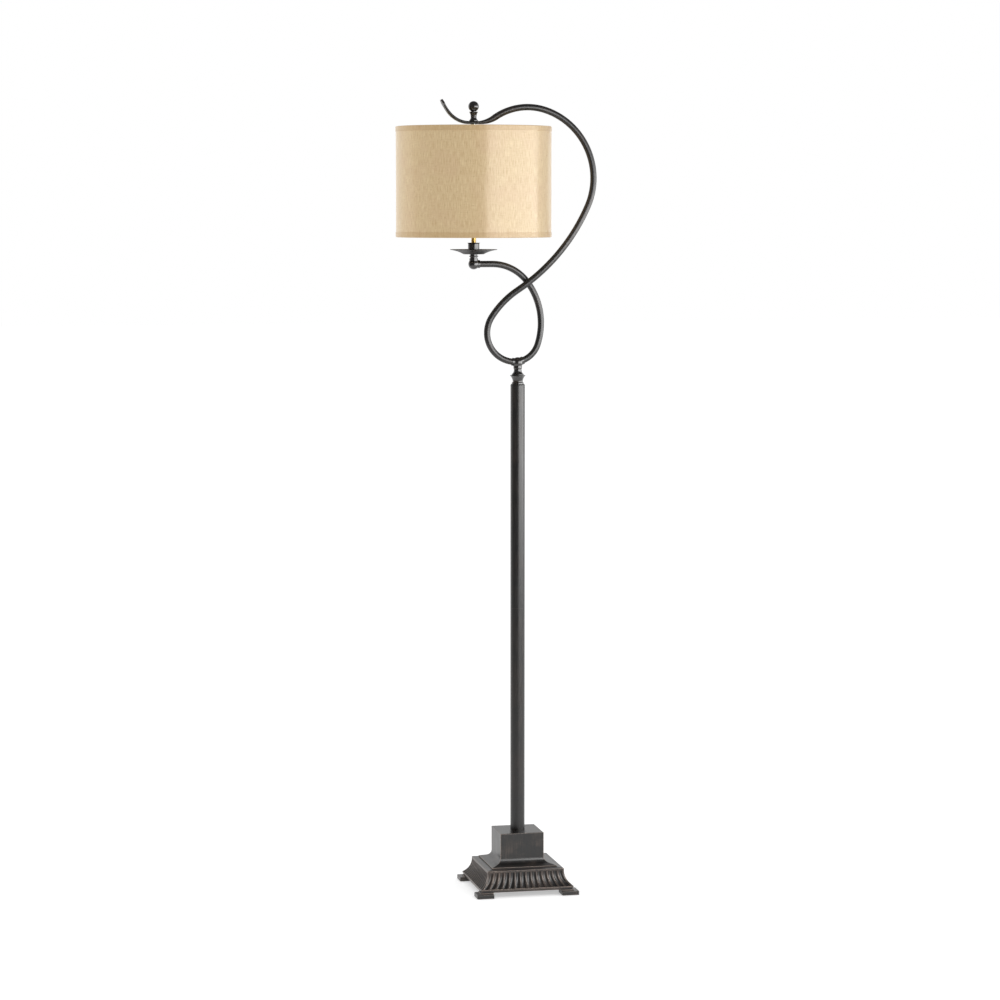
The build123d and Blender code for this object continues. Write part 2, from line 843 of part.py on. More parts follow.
def drip_dish():
    """Spun dish: flat middle and a bowed flare up to a thin rim."""
    bore = nipple_radius + fit_gap
    middle = (dish_foot_radius + dish_radius) / 2
    under_rim = dish_bottom + dish_height - dish_sheet
    bow = dish_bottom + (dish_height - dish_sheet) * dish_bow_share
    outline = [
        Edge.make_line((bore, 0, dish_bottom), (dish_foot_radius, 0, dish_bottom)),
        Edge.make_three_point_arc((dish_foot_radius, 0, dish_bottom), (middle, 0, bow), (dish_radius, 0, under_rim)),
        Edge.make_line((dish_radius, 0, under_rim), (dish_radius, 0, under_rim + dish_sheet)),
        Edge.make_three_point_arc((dish_radius, 0, under_rim + dish_sheet), (middle, 0, bow + dish_sheet),
                                  (dish_foot_radius, 0, dish_bottom + dish_sheet)),
        Edge.make_line((dish_foot_radius, 0, dish_bottom + dish_sheet), (bore, 0, dish_bottom + dish_sheet)),
        Edge.make_line((bore, 0, dish_bottom + dish_sheet), (bore, 0, dish_bottom)),
    ]
    return at_candle(revolve(Face(Wire(outline)), Axis.Z))


def candle_cup():
    """Candle cup with a turned-out lip."""
    bore = nipple_radius + fit_gap
    lip_bottom = cup_top - cup_lip_height
    return at_candle(turned([
        (bore, cup_bottom),
        (cup_radius, cup_bottom),
        (cup_radius, lip_bottom),
        (cup_lip_radius, cup_top - cup_wall / 2),
        (cup_lip_radius, cup_top),
        (cup_radius - cup_wall, cup_top),
        (cup_radius - cup_wall, cup_bottom + cup_wall),
        (bore, cup_bottom + cup_wall),
    ], {2: cup_lip_bow}))


def candle_nipple():
    """Threaded brass pipe that holds the candle group and the socket together."""
    return at_candle(pipe(nipple_radius, nipple_bore_radius, nipple_bottom, nipple_top))


def nipple_nut():
    """Round brass nut that clamps the cup and the dish."""
    return at_candle(pipe(saddle_radius, nipple_radius + fit_gap, saddle_bottom, saddle_bottom + saddle_height))


def socket_cap():
    """Spun cap of the lamp socket."""
    bore = nipple_radius + fit_gap
    throat_top = socket_bottom + socket_cap_throat_height
    brow = cap_top - socket_overlap - socket_cap_sheet
    inner = socket_cap_radius - socket_cap_sheet
    return at_candle(turned([
        (bore, socket_bottom),
        (socket_cap_throat_radius, socket_bottom),
        (socket_cap_throat_radius, throat_top),
        (socket_cap_radius, brow),
        (socket_cap_radius, cap_top),
        (inner, cap_top),
        (inner, brow + socket_cap_sheet / 2),
        (socket_cap_throat_radius, throat_top + socket_cap_sheet),
        (bore, throat_top + socket_cap_sheet),
    ], {2: socket_cap_bow, 6: -socket_cap_bow}))


def socket_shell():
    """Spun outer shell of the socket, with the hole for the switch stem."""
    shell = pipe(shell_radius, shell_radius - socket_shell_sheet, shell_bottom, shell_top)
    lane = Plane(origin=(0, 0, knob_height), z_dir=(0, -1, 0))
    return at_candle(shell - lane * rod(knob_stem_radius + socket_body_wall_gap, 0, 2 * shell_radius))


def socket_body():
    """Moulded insulating body that carries the contacts and the switch."""
    body = rod(body_radius, body_bottom + fit_gap, body_top)
    body -= rod(lead_radius + socket_body_wall_gap, body_bottom - cut_over, body_bottom + knob_stem_radius)
    lane = Plane(origin=(0, 0, knob_height), z_dir=(0, -1, 0))
    return at_candle(body - lane * rod(knob_stem_radius + turning_gap, body_radius - knob_stem_depth, 2 * body_radius))


def screw_shell():
    """Threaded metal sleeve that the bulb screws into."""
    return at_candle(pipe(screw_shell_radius, screw_shell_radius - screw_shell_sheet, body_top,
                          body_top + screw_shell_height))


def socket_contact():
    """Centre contact under the bulb."""
    return at_candle(rod(contact_radius, body_top, contact_top))


def switch_knob():
    """Turn knob of the switch on its stem."""
    start = body_radius - knob_stem_depth + turning_gap
    seat = shell_radius + knob_reach
    stem = rod(knob_stem_radius, start, seat)
    grip = rod(knob_radius, seat, seat + knob_length)
    for step in range(knob_flutes):
        turn = Rot(0, 0, step * 360 / knob_flutes)
        grip -= turn * Pos(knob_radius, 0, 0) * rod(knob_flute_radius, seat, seat + knob_length)
    lane = Plane(origin=(0, 0, knob_height), z_dir=(0, -1, 0))
    return at_candle(lane * (stem + grip))


def bulb_cap():
    """Metal screw cap of the bulb with its contact button."""
    top = bulb_bottom + bulb_cap_button + bulb_cap_height
    floor = bulb_bottom + bulb_cap_button
    inner = bulb_cap_radius - bulb_cap_sheet
    return at_candle(turned([
        (0, bulb_bottom),
        (contact_radius, bulb_bottom),
        (contact_radius, floor),
        (bulb_cap_radius - bulb_cap_taper, floor),
        (bulb_cap_radius, floor + bulb_cap_taper),
        (bulb_cap_radius, top),
        (inner, top),
        (inner, floor + bulb_cap_taper),
        (bulb_cap_radius - bulb_cap_taper - bulb_cap_sheet, floor + bulb_cap_sheet),
        (0, floor + bulb_cap_sheet),
    ]))


def bulb_shape(radius_drop):
    """Half outline of the glass, moved inwards by a wall."""
    neck_radius = bulb_cap_radius - bulb_cap_sheet - bulb_neck_gap - radius_drop
    bottom = bulb_bottom + bulb_cap_button + bulb_cap_height - bulb_neck_grip
    neck_top_height = bottom + bulb_neck_grip + bulb_neck_length
    centre = bulb_bottom + bulb_length - bulb_radius
    radius = bulb_radius - radius_drop
    top = centre + radius
    join = math.radians(-35)
    join_radius = radius * math.cos(join)
    join_height = centre + radius * math.sin(join)
    edges = [
        Edge.make_line((0, 0, bottom), (neck_radius, 0, bottom)),
        Edge.make_line((neck_radius, 0, bottom), (neck_radius, 0, neck_top_height - bulb_neck_length / 2)),
        Edge.make_spline(
            [(neck_radius, 0, neck_top_height - bulb_neck_length / 2), (join_radius, 0, join_height)],
            tangents=[(0, 0, 1), (-math.sin(join), 0, math.cos(join))]),
        Edge.make_three_point_arc((join_radius, 0, join_height), (radius, 0, centre), (0, 0, top)),
        Edge.make_line((0, 0, top), (0, 0, bottom)),
    ]
    return revolve(Face(Wire(edges)), Axis.Z)


def bulb_glass():
    """Thin glass of the bulb, open at the neck."""
    return at_candle(bulb_shape(0) - bulb_shape(bulb_glass_wall))


# Shade group, about the stud axis

strip_bottom = strip_height - flat_thickness / 2
strip_top = strip_height + flat_thickness / 2
shade_top = strip_bottom - shade_top_drop
shade_bottom = shade_top - shade_height
hub_top = shade_top - spider_recess
hub_bottom = hub_top - spider_hub_thickness
liner_radius = shade_radius - shade_fabric
liner_bore = liner_radius - shade_liner
ring_radius = liner_bore - ring_wire_radius - fit_gap


def at_stud(shape):
    """Move a piece from the Z axis to the stud axis."""
    return Pos(axis_x, axis_y, 0) * shape


def shade_drum():
    """Woven cover of the shade."""
    return at_stud(pipe(shade_radius, liner_radius, shade_bottom + trim_sheet, shade_top - trim_sheet))


def shade_backing():
    """Stiff sheet that the cover is bonded to."""
    return at_stud(pipe(liner_radius, liner_bore, shade_bottom + trim_sheet, shade_top - trim_sheet))


def shade_trim(edge, inward):
    """Folded band over a rim of the shade; inward is the way into the shade along Z."""
    outer = shade_radius + trim_sheet
    flap = ring_radius - ring_wire_radius - fit_gap
    leg = edge + inward * trim_sheet
    return at_stud(turned([
        (flap - trim_sheet, edge),
        (outer, edge),
        (outer, edge + inward * trim_height),
        (shade_radius, edge + inward * trim_height),
        (shade_radius, leg),
        (flap, leg),
        (flap, edge + inward * trim_flap),
        (flap - trim_sheet, edge + inward * trim_flap),
    ]))


def ring_wire(height):
    """Round wire ring inside a rim of the shade."""
    ring = Pos(ring_radius, 0, height) * Rot(90, 0, 0) * Circle(ring_wire_radius)
    return revolve(ring, Axis.Z)


ring_inset = trim_sheet + ring_wire_radius + fit_gap


def spider_bars(radius):
    """The arms of the spider as round bars of one radius, from the hub out to the ring."""
    height = shade_top - ring_inset
    middle = (hub_top + hub_bottom) / 2
    start = spider_hub_radius - spider_arm_radius
    way = Vector(ring_radius - start, 0, height - middle)
    bar = Plane(origin=(start, 0, middle), z_dir=way) * rod(radius, 0, way.length)
    return [Rot(0, 0, 90 + step * 360 / spider_arms) * bar for step in range(spider_arms)]


def shade_spider():
    """Top ring, its arms and the hub washer, welded together."""
    spider = ring_wire(shade_top - ring_inset) + rod(spider_hub_radius, hub_bottom, hub_top)
    for bar in spider_bars(spider_arm_radius):
        spider += bar
    return at_stud(spider - rod(stud_radius + turning_gap, hub_bottom - cut_over, hub_top + cut_over))


def shade_top_trim():
    """Folded band over the top rim, slit where the arms of the spider pass."""
    band = shade_trim(shade_top, -1)
    for bar in spider_bars(spider_arm_radius + fit_gap):
        band -= at_stud(bar)
    return band


def shade_bottom_ring():
    """Wire ring inside the lower rim."""
    return at_stud(ring_wire(shade_bottom + ring_inset))


nut_top = hub_bottom
nut_low = nut_top - spider_nut_height


def finial_stud():
    """Threaded stud through the pressed arm."""
    return at_stud(rod(stud_radius, nut_low - stud_below_nut, strip_top + stud_in_finial))


def stud_spacer():
    """Spacer tube between the pressed arm and the hub of the shade."""
    return at_stud(pipe(spacer_radius, stud_radius + fit_gap, hub_top + turning_gap, strip_bottom))


def spider_nut():
    """Knurled nut under the hub of the shade."""
    nut = pipe(spider_nut_radius, stud_radius + fit_gap, nut_low, nut_top)
    for step in range(spider_nut_flutes):
        turn = Rot(0, 0, step * 360 / spider_nut_flutes)
        nut -= turn * Pos(spider_nut_radius, 0, 0) * rod(spider_nut_flute_radius, nut_low - cut_over, nut_top + cut_over)
    return at_stud(nut)


def finial():
    """Turned finial: foot, waist, flare and ball, tapped from below."""
    flare_top = strip_top + finial_flare_height + finial_flare_edge
    stem = turned([
        (0, strip_top),
        (finial_base_radius, strip_top),
        (finial_base_radius, strip_top + finial_base_height),
        (finial_waist_radius, strip_top + finial_waist_height),
        (finial_flare_radius, strip_top + finial_flare_height),
        (finial_flare_radius, flare_top),
        (finial_throat_radius, flare_top),
        (finial_throat_radius, strip_top + finial_ball_height),
        (0, strip_top + finial_ball_height),
    ], {2: finial_waist_bow, 3: finial_flare_bow, 4: finial_edge_bow})
    stem += Pos(0, 0, strip_top + finial_ball_height) * Sphere(finial_ball_radius)
    bore_top = strip_top + stud_in_finial + turning_gap
    return at_stud(stem - rod(stud_radius + turning_gap, strip_top - cut_over, bore_top))


# Lead

def lead_wire():
    """Supply lead inside the lamp, from the bushing up the pole and the candle arm to the socket."""
    half_turn = math.radians(90 - candle_arm_heading) / 2
    hub_bend = tube_seat / math.tan(half_turn)
    seat = plate_top - plate_thickness - bushing_flange_height
    line = Bender((0, 0, seat), 90).run(hub_height - tube_seat - seat)
    line.bend(hub_bend, candle_arm_heading)
    line.run(arm_lead_in - tube_seat)
    bent(line, candle_arm_radii, candle_arm_headings, (0, 0, 0))
    line.run(line.place.X - axis_x - tube_seat)
    line.bend(tube_seat, 90)
    line.run(body_bottom + knob_stem_radius - line.place.Z - fit_gap)
    return swept(line.wire(), lead_radius)


# Write every piece
if __name__ == "__main__":
    write("base_casting", base_casting())
    write("plinth_block", plinth_block())
    write("base_weight", base_weight())
    write("bottom_plate", bottom_plate())
    write("cord_bushing", cord_bushing())
    write("plate_screws", plate_screws())
    write("foot_screws", foot_screws())
    for corner in ("rear_right", "rear_left", "front_left", "front_right"):
        write("foot_" + corner, foot_corner(corner) * foot())
    glide_middle = foot_reach - foot_side / 2
    write("felt_glides", four_corners(Pos(glide_middle, glide_middle, 0) * glide_pocket(0)))
    write("clamp_pipe", pipe(pipe_radius, pipe_bore_radius, pipe_bottom, plinth_top + bush_length))
    write("clamp_washer", pipe(washer_radius, pipe_radius + fit_gap, weight_bottom - washer_thickness, weight_bottom))
    write("clamp_nut", base_nut())
    write("pole_lower", pole_lower())
    write("pole_upper", pole_upper())
    write("pole_foot_bush", pole_bush(plinth_top, pipe_radius))
    write("pole_coupler", pipe(pole_bore - fit_gap, coupler_bore_radius, pole_seam - coupler_length / 2,
                               pole_seam + coupler_length / 2))
    write("pole_top_bush", pole_bush(top_bush_bottom, neck_spigot_radius))
    write("pole_neck", pole_neck())
    write("arm_hub", arm_hub())
    write("shade_arm", shade_arm())
    write("candle_arm", candle_arm())
    write("candle_ball", candle_ball())
    write("candle_neck", candle_neck())
    write("drip_dish", drip_dish())
    write("candle_cup", candle_cup())
    write("candle_nipple", candle_nipple())
    write("nipple_nut", nipple_nut())
    write("socket_cap", socket_cap())
    write("socket_shell", socket_shell())
    write("socket_body", socket_body())
    write("screw_shell", screw_shell())
    write("socket_contact", socket_contact())
    write("switch_knob", switch_knob())
    write("bulb_cap", bulb_cap())
    write("bulb_glass", bulb_glass())
    write("shade_drum", shade_drum())
    write("shade_backing", shade_backing())
    write("shade_top_trim", shade_top_trim())
    write("shade_bottom_trim", shade_trim(shade_bottom, 1))
    write("shade_spider", shade_spider())
    write("shade_bottom_ring", shade_bottom_ring())
    write("finial_stud", finial_stud())
    write("stud_spacer", stud_spacer())
    write("spider_nut", spider_nut())
    write("finial", finial())
    write("lead_wire", lead_wire())
    print("stud axis", round(axis_x, 3), round(axis_y, 3), "strip", round(strip_height, 3))
    print("candle ball", round(candle_height, 3), "hub", round(hub_height, 3))
    print("knob height", round(knob_height, 3), "bulb bottom", round(bulb_bottom, 3))
    print("shade", round(shade_bottom, 3), round(shade_top, 3), "hub of shade", round(hub_bottom, 3))
    print("rim half", round(rim_half, 3), "casting top", round(casting_top, 3), "plinth top", round(plinth_top, 3))
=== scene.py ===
import logging
import math
from dataclasses import dataclass
from enum import Enum
from typing import Any, Iterable, Sequence

import bmesh
import bpy
from mathutils import Matrix, Vector, noise


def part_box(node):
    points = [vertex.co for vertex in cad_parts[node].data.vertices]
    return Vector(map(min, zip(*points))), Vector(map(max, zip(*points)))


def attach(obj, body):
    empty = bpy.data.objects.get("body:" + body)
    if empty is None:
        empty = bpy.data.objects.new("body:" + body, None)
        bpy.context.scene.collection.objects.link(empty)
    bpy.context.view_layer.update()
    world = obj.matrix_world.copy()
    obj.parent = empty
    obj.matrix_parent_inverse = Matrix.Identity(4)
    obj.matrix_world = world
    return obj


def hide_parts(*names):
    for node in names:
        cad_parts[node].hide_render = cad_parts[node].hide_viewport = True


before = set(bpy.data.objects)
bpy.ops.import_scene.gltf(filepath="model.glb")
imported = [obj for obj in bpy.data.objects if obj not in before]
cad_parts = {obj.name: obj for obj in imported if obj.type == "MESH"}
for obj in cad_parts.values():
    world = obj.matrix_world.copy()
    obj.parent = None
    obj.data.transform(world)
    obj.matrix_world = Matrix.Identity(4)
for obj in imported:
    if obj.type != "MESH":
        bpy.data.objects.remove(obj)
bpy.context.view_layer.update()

MM = 0.001
FULL_TURN = 2 * math.pi
# Distance in metres within which two points are one
MERGE = 1e-6
Colour = tuple[float, float, float, float]
LOG = logging.getLogger("floor_lamp")


def linear(code: str) -> Colour:
    """Turns an sRGB hex colour to the linear values that shaders take.

    Args:
        code: The colour as #rrggbb.

    Returns:
        Red, green, blue and a full alpha.
    """
    channels = [int(code[place:place + 2], 16) / 255 for place in (1, 3, 5)]
    lit = [c / 12.92 if c <= 0.04045 else ((c + 0.055) / 1.055) ** 2.4 for c in channels]
    return lit[0], lit[1], lit[2], 1.0


def add_node(tree: bpy.types.NodeTree, kind: str, settings: dict[str, Any] | None = None,
             inputs: dict[str | int, Any] | None = None) -> bpy.types.Node:
    """Adds a node to a tree, sets its properties, and fills or links its inputs.

    Args:
        tree: The tree that gets the node.
        kind: The node's type.
        settings: Properties of the node, by name.
        inputs: A value or an output socket for each input, by the input's name or number.

    Returns:
        The new node.
    """
    node = tree.nodes.new(kind)
    for name, value in (settings or {}).items():
        setattr(node, name, value)
    for key, value in (inputs or {}).items():
        if isinstance(value, bpy.types.NodeSocket):
            tree.links.new(value, node.inputs[key])
        else:
            node.inputs[key].default_value = value
    return node


def empty_material(name: str) -> tuple[bpy.types.Material, bpy.types.NodeTree]:
    """Makes a material with an empty node tree.

    Args:
        name: The name of the material.

    Returns:
        The material and its tree.
    """
    material = bpy.data.materials.new(name)
    material.use_nodes = True
    material.node_tree.nodes.clear()
    return material, material.node_tree


def patterns_per_metre(spacing_mm: float) -> float:
    """Scale of a noise whose marks lie about this many millimetres apart."""
    return 1 / (spacing_mm * MM)


class Brush(Enum):
    """Way in which the last rubbing strokes run on a bronzed piece."""

    NONE = (1.0, 1.0, 1.0)
    UPRIGHT = (1.0, 1.0, 0.04)
    ROUND = (0.15, 0.15, 2.0)


@dataclass(frozen=True)
class RubbedBronze:
    """Oil-rubbed bronze: near-black lacquer over copper plate, rubbed through on the high spots.

    The eye reads a dark satin that turns pale where it mirrors the room at a glancing angle,
    with brown clouds where the lacquer is thin and copper on the arrises.
    """

    name: str
    ground: str = "#131313"
    warm: str = "#211a16"
    copper: str = "#ad917c"
    roughness: float = 0.34
    swing: float = 0.07
    grain_mm: float = 1.1
    relief_mm: float = 0.05
    cloud_mm: float = 60.0
    stroke_mm: float = 1.6
    edge_mm: float = 0.7
    rub_and_flute_light: float = 0.55
    brush: Brush = Brush.NONE
    specular: float = 0.62
    gloss: float = 0.0
    flute_light_mm: float = 0.0
    flute_shade_reach: float = 3.0

    def paint_flute_light_and_shade(self, tree: bpy.types.NodeTree, normal: bpy.types.NodeSocket) -> bpy.types.NodeSocket:
        """Paints the flutes' light and shade: a copper highlight on their curved middles, dark hollows.

        Args:
            tree: The tree of the finish.
            normal: The surface's own normal.

        Returns:
            Up to the rub where the metal is rubbed bare.
        """
        # Painted highlight: copper where the surface curves within the flutes
        broad = add_node(tree, "ShaderNodeBevel", {"samples": 8}, {"Radius": self.flute_light_mm * MM})
        facing = add_node(tree, "ShaderNodeVectorMath", {"operation": "DOT_PRODUCT"}, {
            0: broad.outputs[0], 1: normal})
        flute_highlight = add_node(tree, "ShaderNodeMapRange", {}, {
            "Value": facing.outputs["Value"], "From Min": 0.99, "From Max": 0.90, "To Max": self.rub_and_flute_light})
        # Painted shade: occluded hollows get no copper and stay dark
        light = add_node(tree, "ShaderNodeAmbientOcclusion", {"samples": 8}, {
            "Distance": self.flute_shade_reach * self.flute_light_mm * MM})
        unshaded_share = add_node(tree, "ShaderNodeMapRange", {}, {
            "Value": light.outputs["AO"], "From Min": 0.55, "From Max": 0.8})
        return add_node(tree, "ShaderNodeMath", {"operation": "MULTIPLY"}, {
            0: flute_highlight.outputs[0], 1: unshaded_share.outputs[0]}).outputs[0]

    def material(self) -> bpy.types.Material:
        """Builds the finish.

        Returns:
            The finish as a material.
        """
        material, tree = empty_material(self.name)
        place = add_node(tree, "ShaderNodeTexCoord").outputs["Object"]
        cloud = add_node(tree, "ShaderNodeTexNoise", {}, {
            "Vector": place, "Scale": patterns_per_metre(self.cloud_mm), "Detail": 4.0, "Roughness": 0.6})
        along = add_node(tree, "ShaderNodeMapping", {}, {"Vector": place, "Scale": self.brush.value})
        stroke = add_node(tree, "ShaderNodeTexNoise", {}, {
            "Vector": along.outputs[0], "Scale": patterns_per_metre(self.stroke_mm), "Detail": 3.0})
        grain = add_node(tree, "ShaderNodeTexNoise", {}, {
            "Vector": place, "Scale": patterns_per_metre(self.grain_mm), "Detail": 5.0, "Roughness": 0.65})
        thin = add_node(tree, "ShaderNodeMapRange", {}, {
            "Value": cloud.outputs[0], "From Min": 0.48, "From Max": 0.74})
        streaky = add_node(tree, "ShaderNodeMapRange", {}, {
            "Value": stroke.outputs[0], "From Min": 0.35, "From Max": 0.72})
        browned = add_node(tree, "ShaderNodeMath", {"operation": "MULTIPLY_ADD"}, {
            0: streaky.outputs[0], 1: 0.5, 2: thin.outputs[0]})
        lacquer = add_node(tree, "ShaderNodeMix", {"data_type": "RGBA"}, {
            0: browned.outputs[0], 6: linear(self.ground), 7: linear(self.warm)})
        normal = add_node(tree, "ShaderNodeNewGeometry").outputs["Normal"]
        rounded = add_node(tree, "ShaderNodeBevel", {"samples": 6}, {"Radius": self.edge_mm * MM})
        facing = add_node(tree, "ShaderNodeVectorMath", {"operation": "DOT_PRODUCT"}, {
            0: rounded.outputs[0], 1: normal})
        arris_and_flute_light = add_node(tree, "ShaderNodeMapRange", {}, {
            "Value": facing.outputs["Value"], "From Min": 0.985, "From Max": 0.86, "To Max": self.rub_and_flute_light})
        broken = add_node(tree, "ShaderNodeMapRange", {}, {
            "Value": grain.outputs[0], "From Min": 0.3, "From Max": 0.6, "To Min": 0.35})
        # The flutes' painted highlight joins the copper on the worn arrises
        if self.flute_light_mm:
            painted_flute_light = self.paint_flute_light_and_shade(tree, normal)
            arris_and_flute_light = add_node(tree, "ShaderNodeMath", {"operation": "MAXIMUM"}, {0: arris_and_flute_light.outputs[0], 1: painted_flute_light})
        edge = add_node(tree, "ShaderNodeMath", {"operation": "MULTIPLY"}, {
            0: arris_and_flute_light.outputs[0], 1: broken.outputs[0]})
        worn = add_node(tree, "ShaderNodeMath", {"operation": "MULTIPLY"}, {
            0: thin.outputs[0], 1: streaky.outputs[0]})
        # Copper share: real wear on arrises and thin lacquer, plus the painted flute highlight
        copper_and_flute_light = add_node(tree, "ShaderNodeMath", {"operation": "MULTIPLY_ADD", "use_clamp": True}, {
            0: worn.outputs[0], 1: self.rub_and_flute_light * 0.3, 2: edge.outputs[0]})
        colour = add_node(tree, "ShaderNodeMix", {"data_type": "RGBA"}, {
            0: copper_and_flute_light.outputs[0], 6: lacquer.outputs[2], 7: linear(self.copper)})
        rough = add_node(tree, "ShaderNodeMapRange", {}, {
            "Value": stroke.outputs[0], "From Min": 0.3, "From Max": 0.7,
            "To Min": self.roughness - self.swing, "To Max": self.roughness + self.swing})
        relief = add_node(tree, "ShaderNodeBump", {}, {
            "Height": grain.outputs[0], "Strength": 0.6, "Distance": self.relief_mm * MM,
            "Normal": rounded.outputs[0]})
        skin = add_node(tree, "ShaderNodeBsdfPrincipled", {}, {
            "Base Color": colour.outputs[2], "Metallic": copper_and_flute_light.outputs[0], "Roughness": rough.outputs[0],
            "Specular IOR Level": self.specular, "Coat Weight": self.gloss, "Coat Roughness": 0.1,
            "Normal": relief.outputs[0]})
        add_node(tree, "ShaderNodeOutputMaterial", {}, {"Surface": skin.outputs[0]})
        return material


@dataclass(frozen=True)
class PlainFinish:
    """Finish of one material whose colour, gloss and relief vary a little with one grain."""

    name: str
    low: str
    high: str
    roughness: float
    swing: float = 0.06
    metallic: float = 0.0
    grain_mm: float = 2.0
    relief_mm: float = 0.02
    stretch: tuple[float, float, float] = (1.0, 1.0, 1.0)
    sheen: float = 0.0
    gloss: float = 0.0
    glow: float = 0.0

    def material(self) -> bpy.types.Material:
        """Builds the finish.

        Returns:
            The finish as a material.
        """
        material, tree = empty_material(self.name)
        place = add_node(tree, "ShaderNodeTexCoord").outputs["Object"]
        along = add_node(tree, "ShaderNodeMapping", {}, {"Vector": place, "Scale": self.stretch})
        grain = add_node(tree, "ShaderNodeTexNoise", {}, {
            "Vector": along.outputs[0], "Scale": patterns_per_metre(self.grain_mm), "Detail": 5.0,
            "Roughness": 0.6})
        share = add_node(tree, "ShaderNodeMapRange", {}, {
            "Value": grain.outputs[0], "From Min": 0.3, "From Max": 0.7})
        colour = add_node(tree, "ShaderNodeMix", {"data_type": "RGBA"}, {
            0: share.outputs[0], 6: linear(self.low), 7: linear(self.high)})
        rough = add_node(tree, "ShaderNodeMapRange", {}, {
            "Value": grain.outputs[0], "From Min": 0.3, "From Max": 0.7,
            "To Min": self.roughness - self.swing, "To Max": self.roughness + self.swing})
        relief = add_node(tree, "ShaderNodeBump", {}, {
            "Height": grain.outputs[0], "Strength": 0.7, "Distance": self.relief_mm * MM})
        skin = add_node(tree, "ShaderNodeBsdfPrincipled", {}, {
            "Base Color": colour.outputs[2], "Metallic": self.metallic, "Roughness": rough.outputs[0],
            "Sheen Weight": self.sheen, "Coat Weight": self.gloss, "Coat Roughness": 0.08,
            "Subsurface Weight": self.glow, "Subsurface Radius": (MM, MM, MM), "Normal": relief.outputs[0]})
        add_node(tree, "ShaderNodeOutputMaterial", {}, {"Surface": skin.outputs[0]})
        return material


@dataclass(frozen=True)
class SatinCloth:
    """Satin-woven silky shade cloth, bonded to its stiff backing.

    Long floating threads give the eye a sheen that is sharp sideways and drawn out along the
    height, over a fine upright grain with slubs and small flecks.
    """

    name: str
    ground: str = "#d2b180"
    pale: str = "#efd7aa"
    fleck: str = "#b3915f"
    roughness: float = 0.40
    width_mm: float = 961.0
    height_mm: float = 215.0
    thread_mm: float = 1.5
    slub_mm: float = 17.0
    fleck_mm: float = 5.0
    bloom_mm: float = 55.0
    bloom: str = "#dcb592"
    anisotropy: float = 0.93
    specular: float = 0.76
    weft_share: float = 0.3
    swing: float = 0.05
    relief_mm: float = 0.12
    grain_turn: float = 0.25
    sheen: float = 0.12

    def material(self) -> bpy.types.Material:
        """Builds the cloth so that it follows a piece's own UV map.

        Returns:
            The cloth as a material.
        """
        material, tree = empty_material(self.name)
        flat = add_node(tree, "ShaderNodeUVMap", {"uv_map": "cloth"}).outputs[0]
        metres = add_node(tree, "ShaderNodeMapping", {}, {
            "Vector": flat, "Scale": (self.width_mm * MM, self.height_mm * MM, 1.0)})
        upright = add_node(tree, "ShaderNodeMapping", {}, {
            "Vector": metres.outputs[0], "Scale": (1.0, self.thread_mm / self.slub_mm, 1.0)})
        level = add_node(tree, "ShaderNodeMapping", {}, {
            "Vector": metres.outputs[0], "Scale": (self.thread_mm / self.slub_mm, 1.0, 1.0)})
        warp = add_node(tree, "ShaderNodeTexNoise", {}, {
            "Vector": upright.outputs[0], "Scale": patterns_per_metre(self.thread_mm), "Detail": 4.0})
        weft = add_node(tree, "ShaderNodeTexNoise", {}, {
            "Vector": level.outputs[0], "Scale": patterns_per_metre(self.thread_mm), "Detail": 4.0})
        blot = add_node(tree, "ShaderNodeTexNoise", {}, {
            "Vector": metres.outputs[0], "Scale": patterns_per_metre(self.fleck_mm), "Detail": 3.0,
            "Roughness": 0.7})
        crossed = add_node(tree, "ShaderNodeMath", {"operation": "MULTIPLY_ADD"}, {
            0: weft.outputs[0], 1: self.weft_share, 2: warp.outputs[0]})
        thread = add_node(tree, "ShaderNodeMapRange", {}, {
            "Value": crossed.outputs[0], "From Min": 0.40, "From Max": 0.90})
        woven = add_node(tree, "ShaderNodeMix", {"data_type": "RGBA"}, {
            0: thread.outputs[0], 6: linear(self.ground), 7: linear(self.pale)})
        spot = add_node(tree, "ShaderNodeMapRange", {}, {
            "Value": blot.outputs[0], "From Min": 0.57, "From Max": 0.80, "To Max": 0.6})
        flecked = add_node(tree, "ShaderNodeMix", {"data_type": "RGBA"}, {
            0: spot.outputs[0], 6: woven.outputs[2], 7: linear(self.fleck)})
        cloud = add_node(tree, "ShaderNodeTexNoise", {}, {
            "Vector": metres.outputs[0], "Scale": patterns_per_metre(self.bloom_mm), "Detail": 3.0})
        rosy = add_node(tree, "ShaderNodeMapRange", {}, {
            "Value": cloud.outputs[0], "From Min": 0.45, "From Max": 0.7, "To Max": 0.25})
        colour = add_node(tree, "ShaderNodeMix", {"data_type": "RGBA"}, {
            0: rosy.outputs[0], 6: flecked.outputs[2], 7: linear(self.bloom)})
        rough = add_node(tree, "ShaderNodeMapRange", {}, {
            "Value": crossed.outputs[0], "From Min": 0.35, "From Max": 0.85,
            "To Min": self.roughness + self.swing, "To Max": self.roughness - self.swing})
        relief = add_node(tree, "ShaderNodeBump", {}, {
            "Height": crossed.outputs[0], "Strength": 0.5, "Distance": self.relief_mm * MM})
        grain_way = add_node(tree, "ShaderNodeTangent", {"direction_type": "UV_MAP", "uv_map": "cloth"})
        skin = add_node(tree, "ShaderNodeBsdfPrincipled", {}, {
            "Base Color": colour.outputs[2], "Roughness": rough.outputs[0],
            "Specular IOR Level": self.specular, "Anisotropic": self.anisotropy,
            "Anisotropic Rotation": self.grain_turn, "Tangent": grain_way.outputs[0],
            "Sheen Weight": self.sheen, "Sheen Roughness": 0.45, "Normal": relief.outputs[0]})
        add_node(tree, "ShaderNodeOutputMaterial", {}, {"Surface": skin.outputs[0]})
        return material


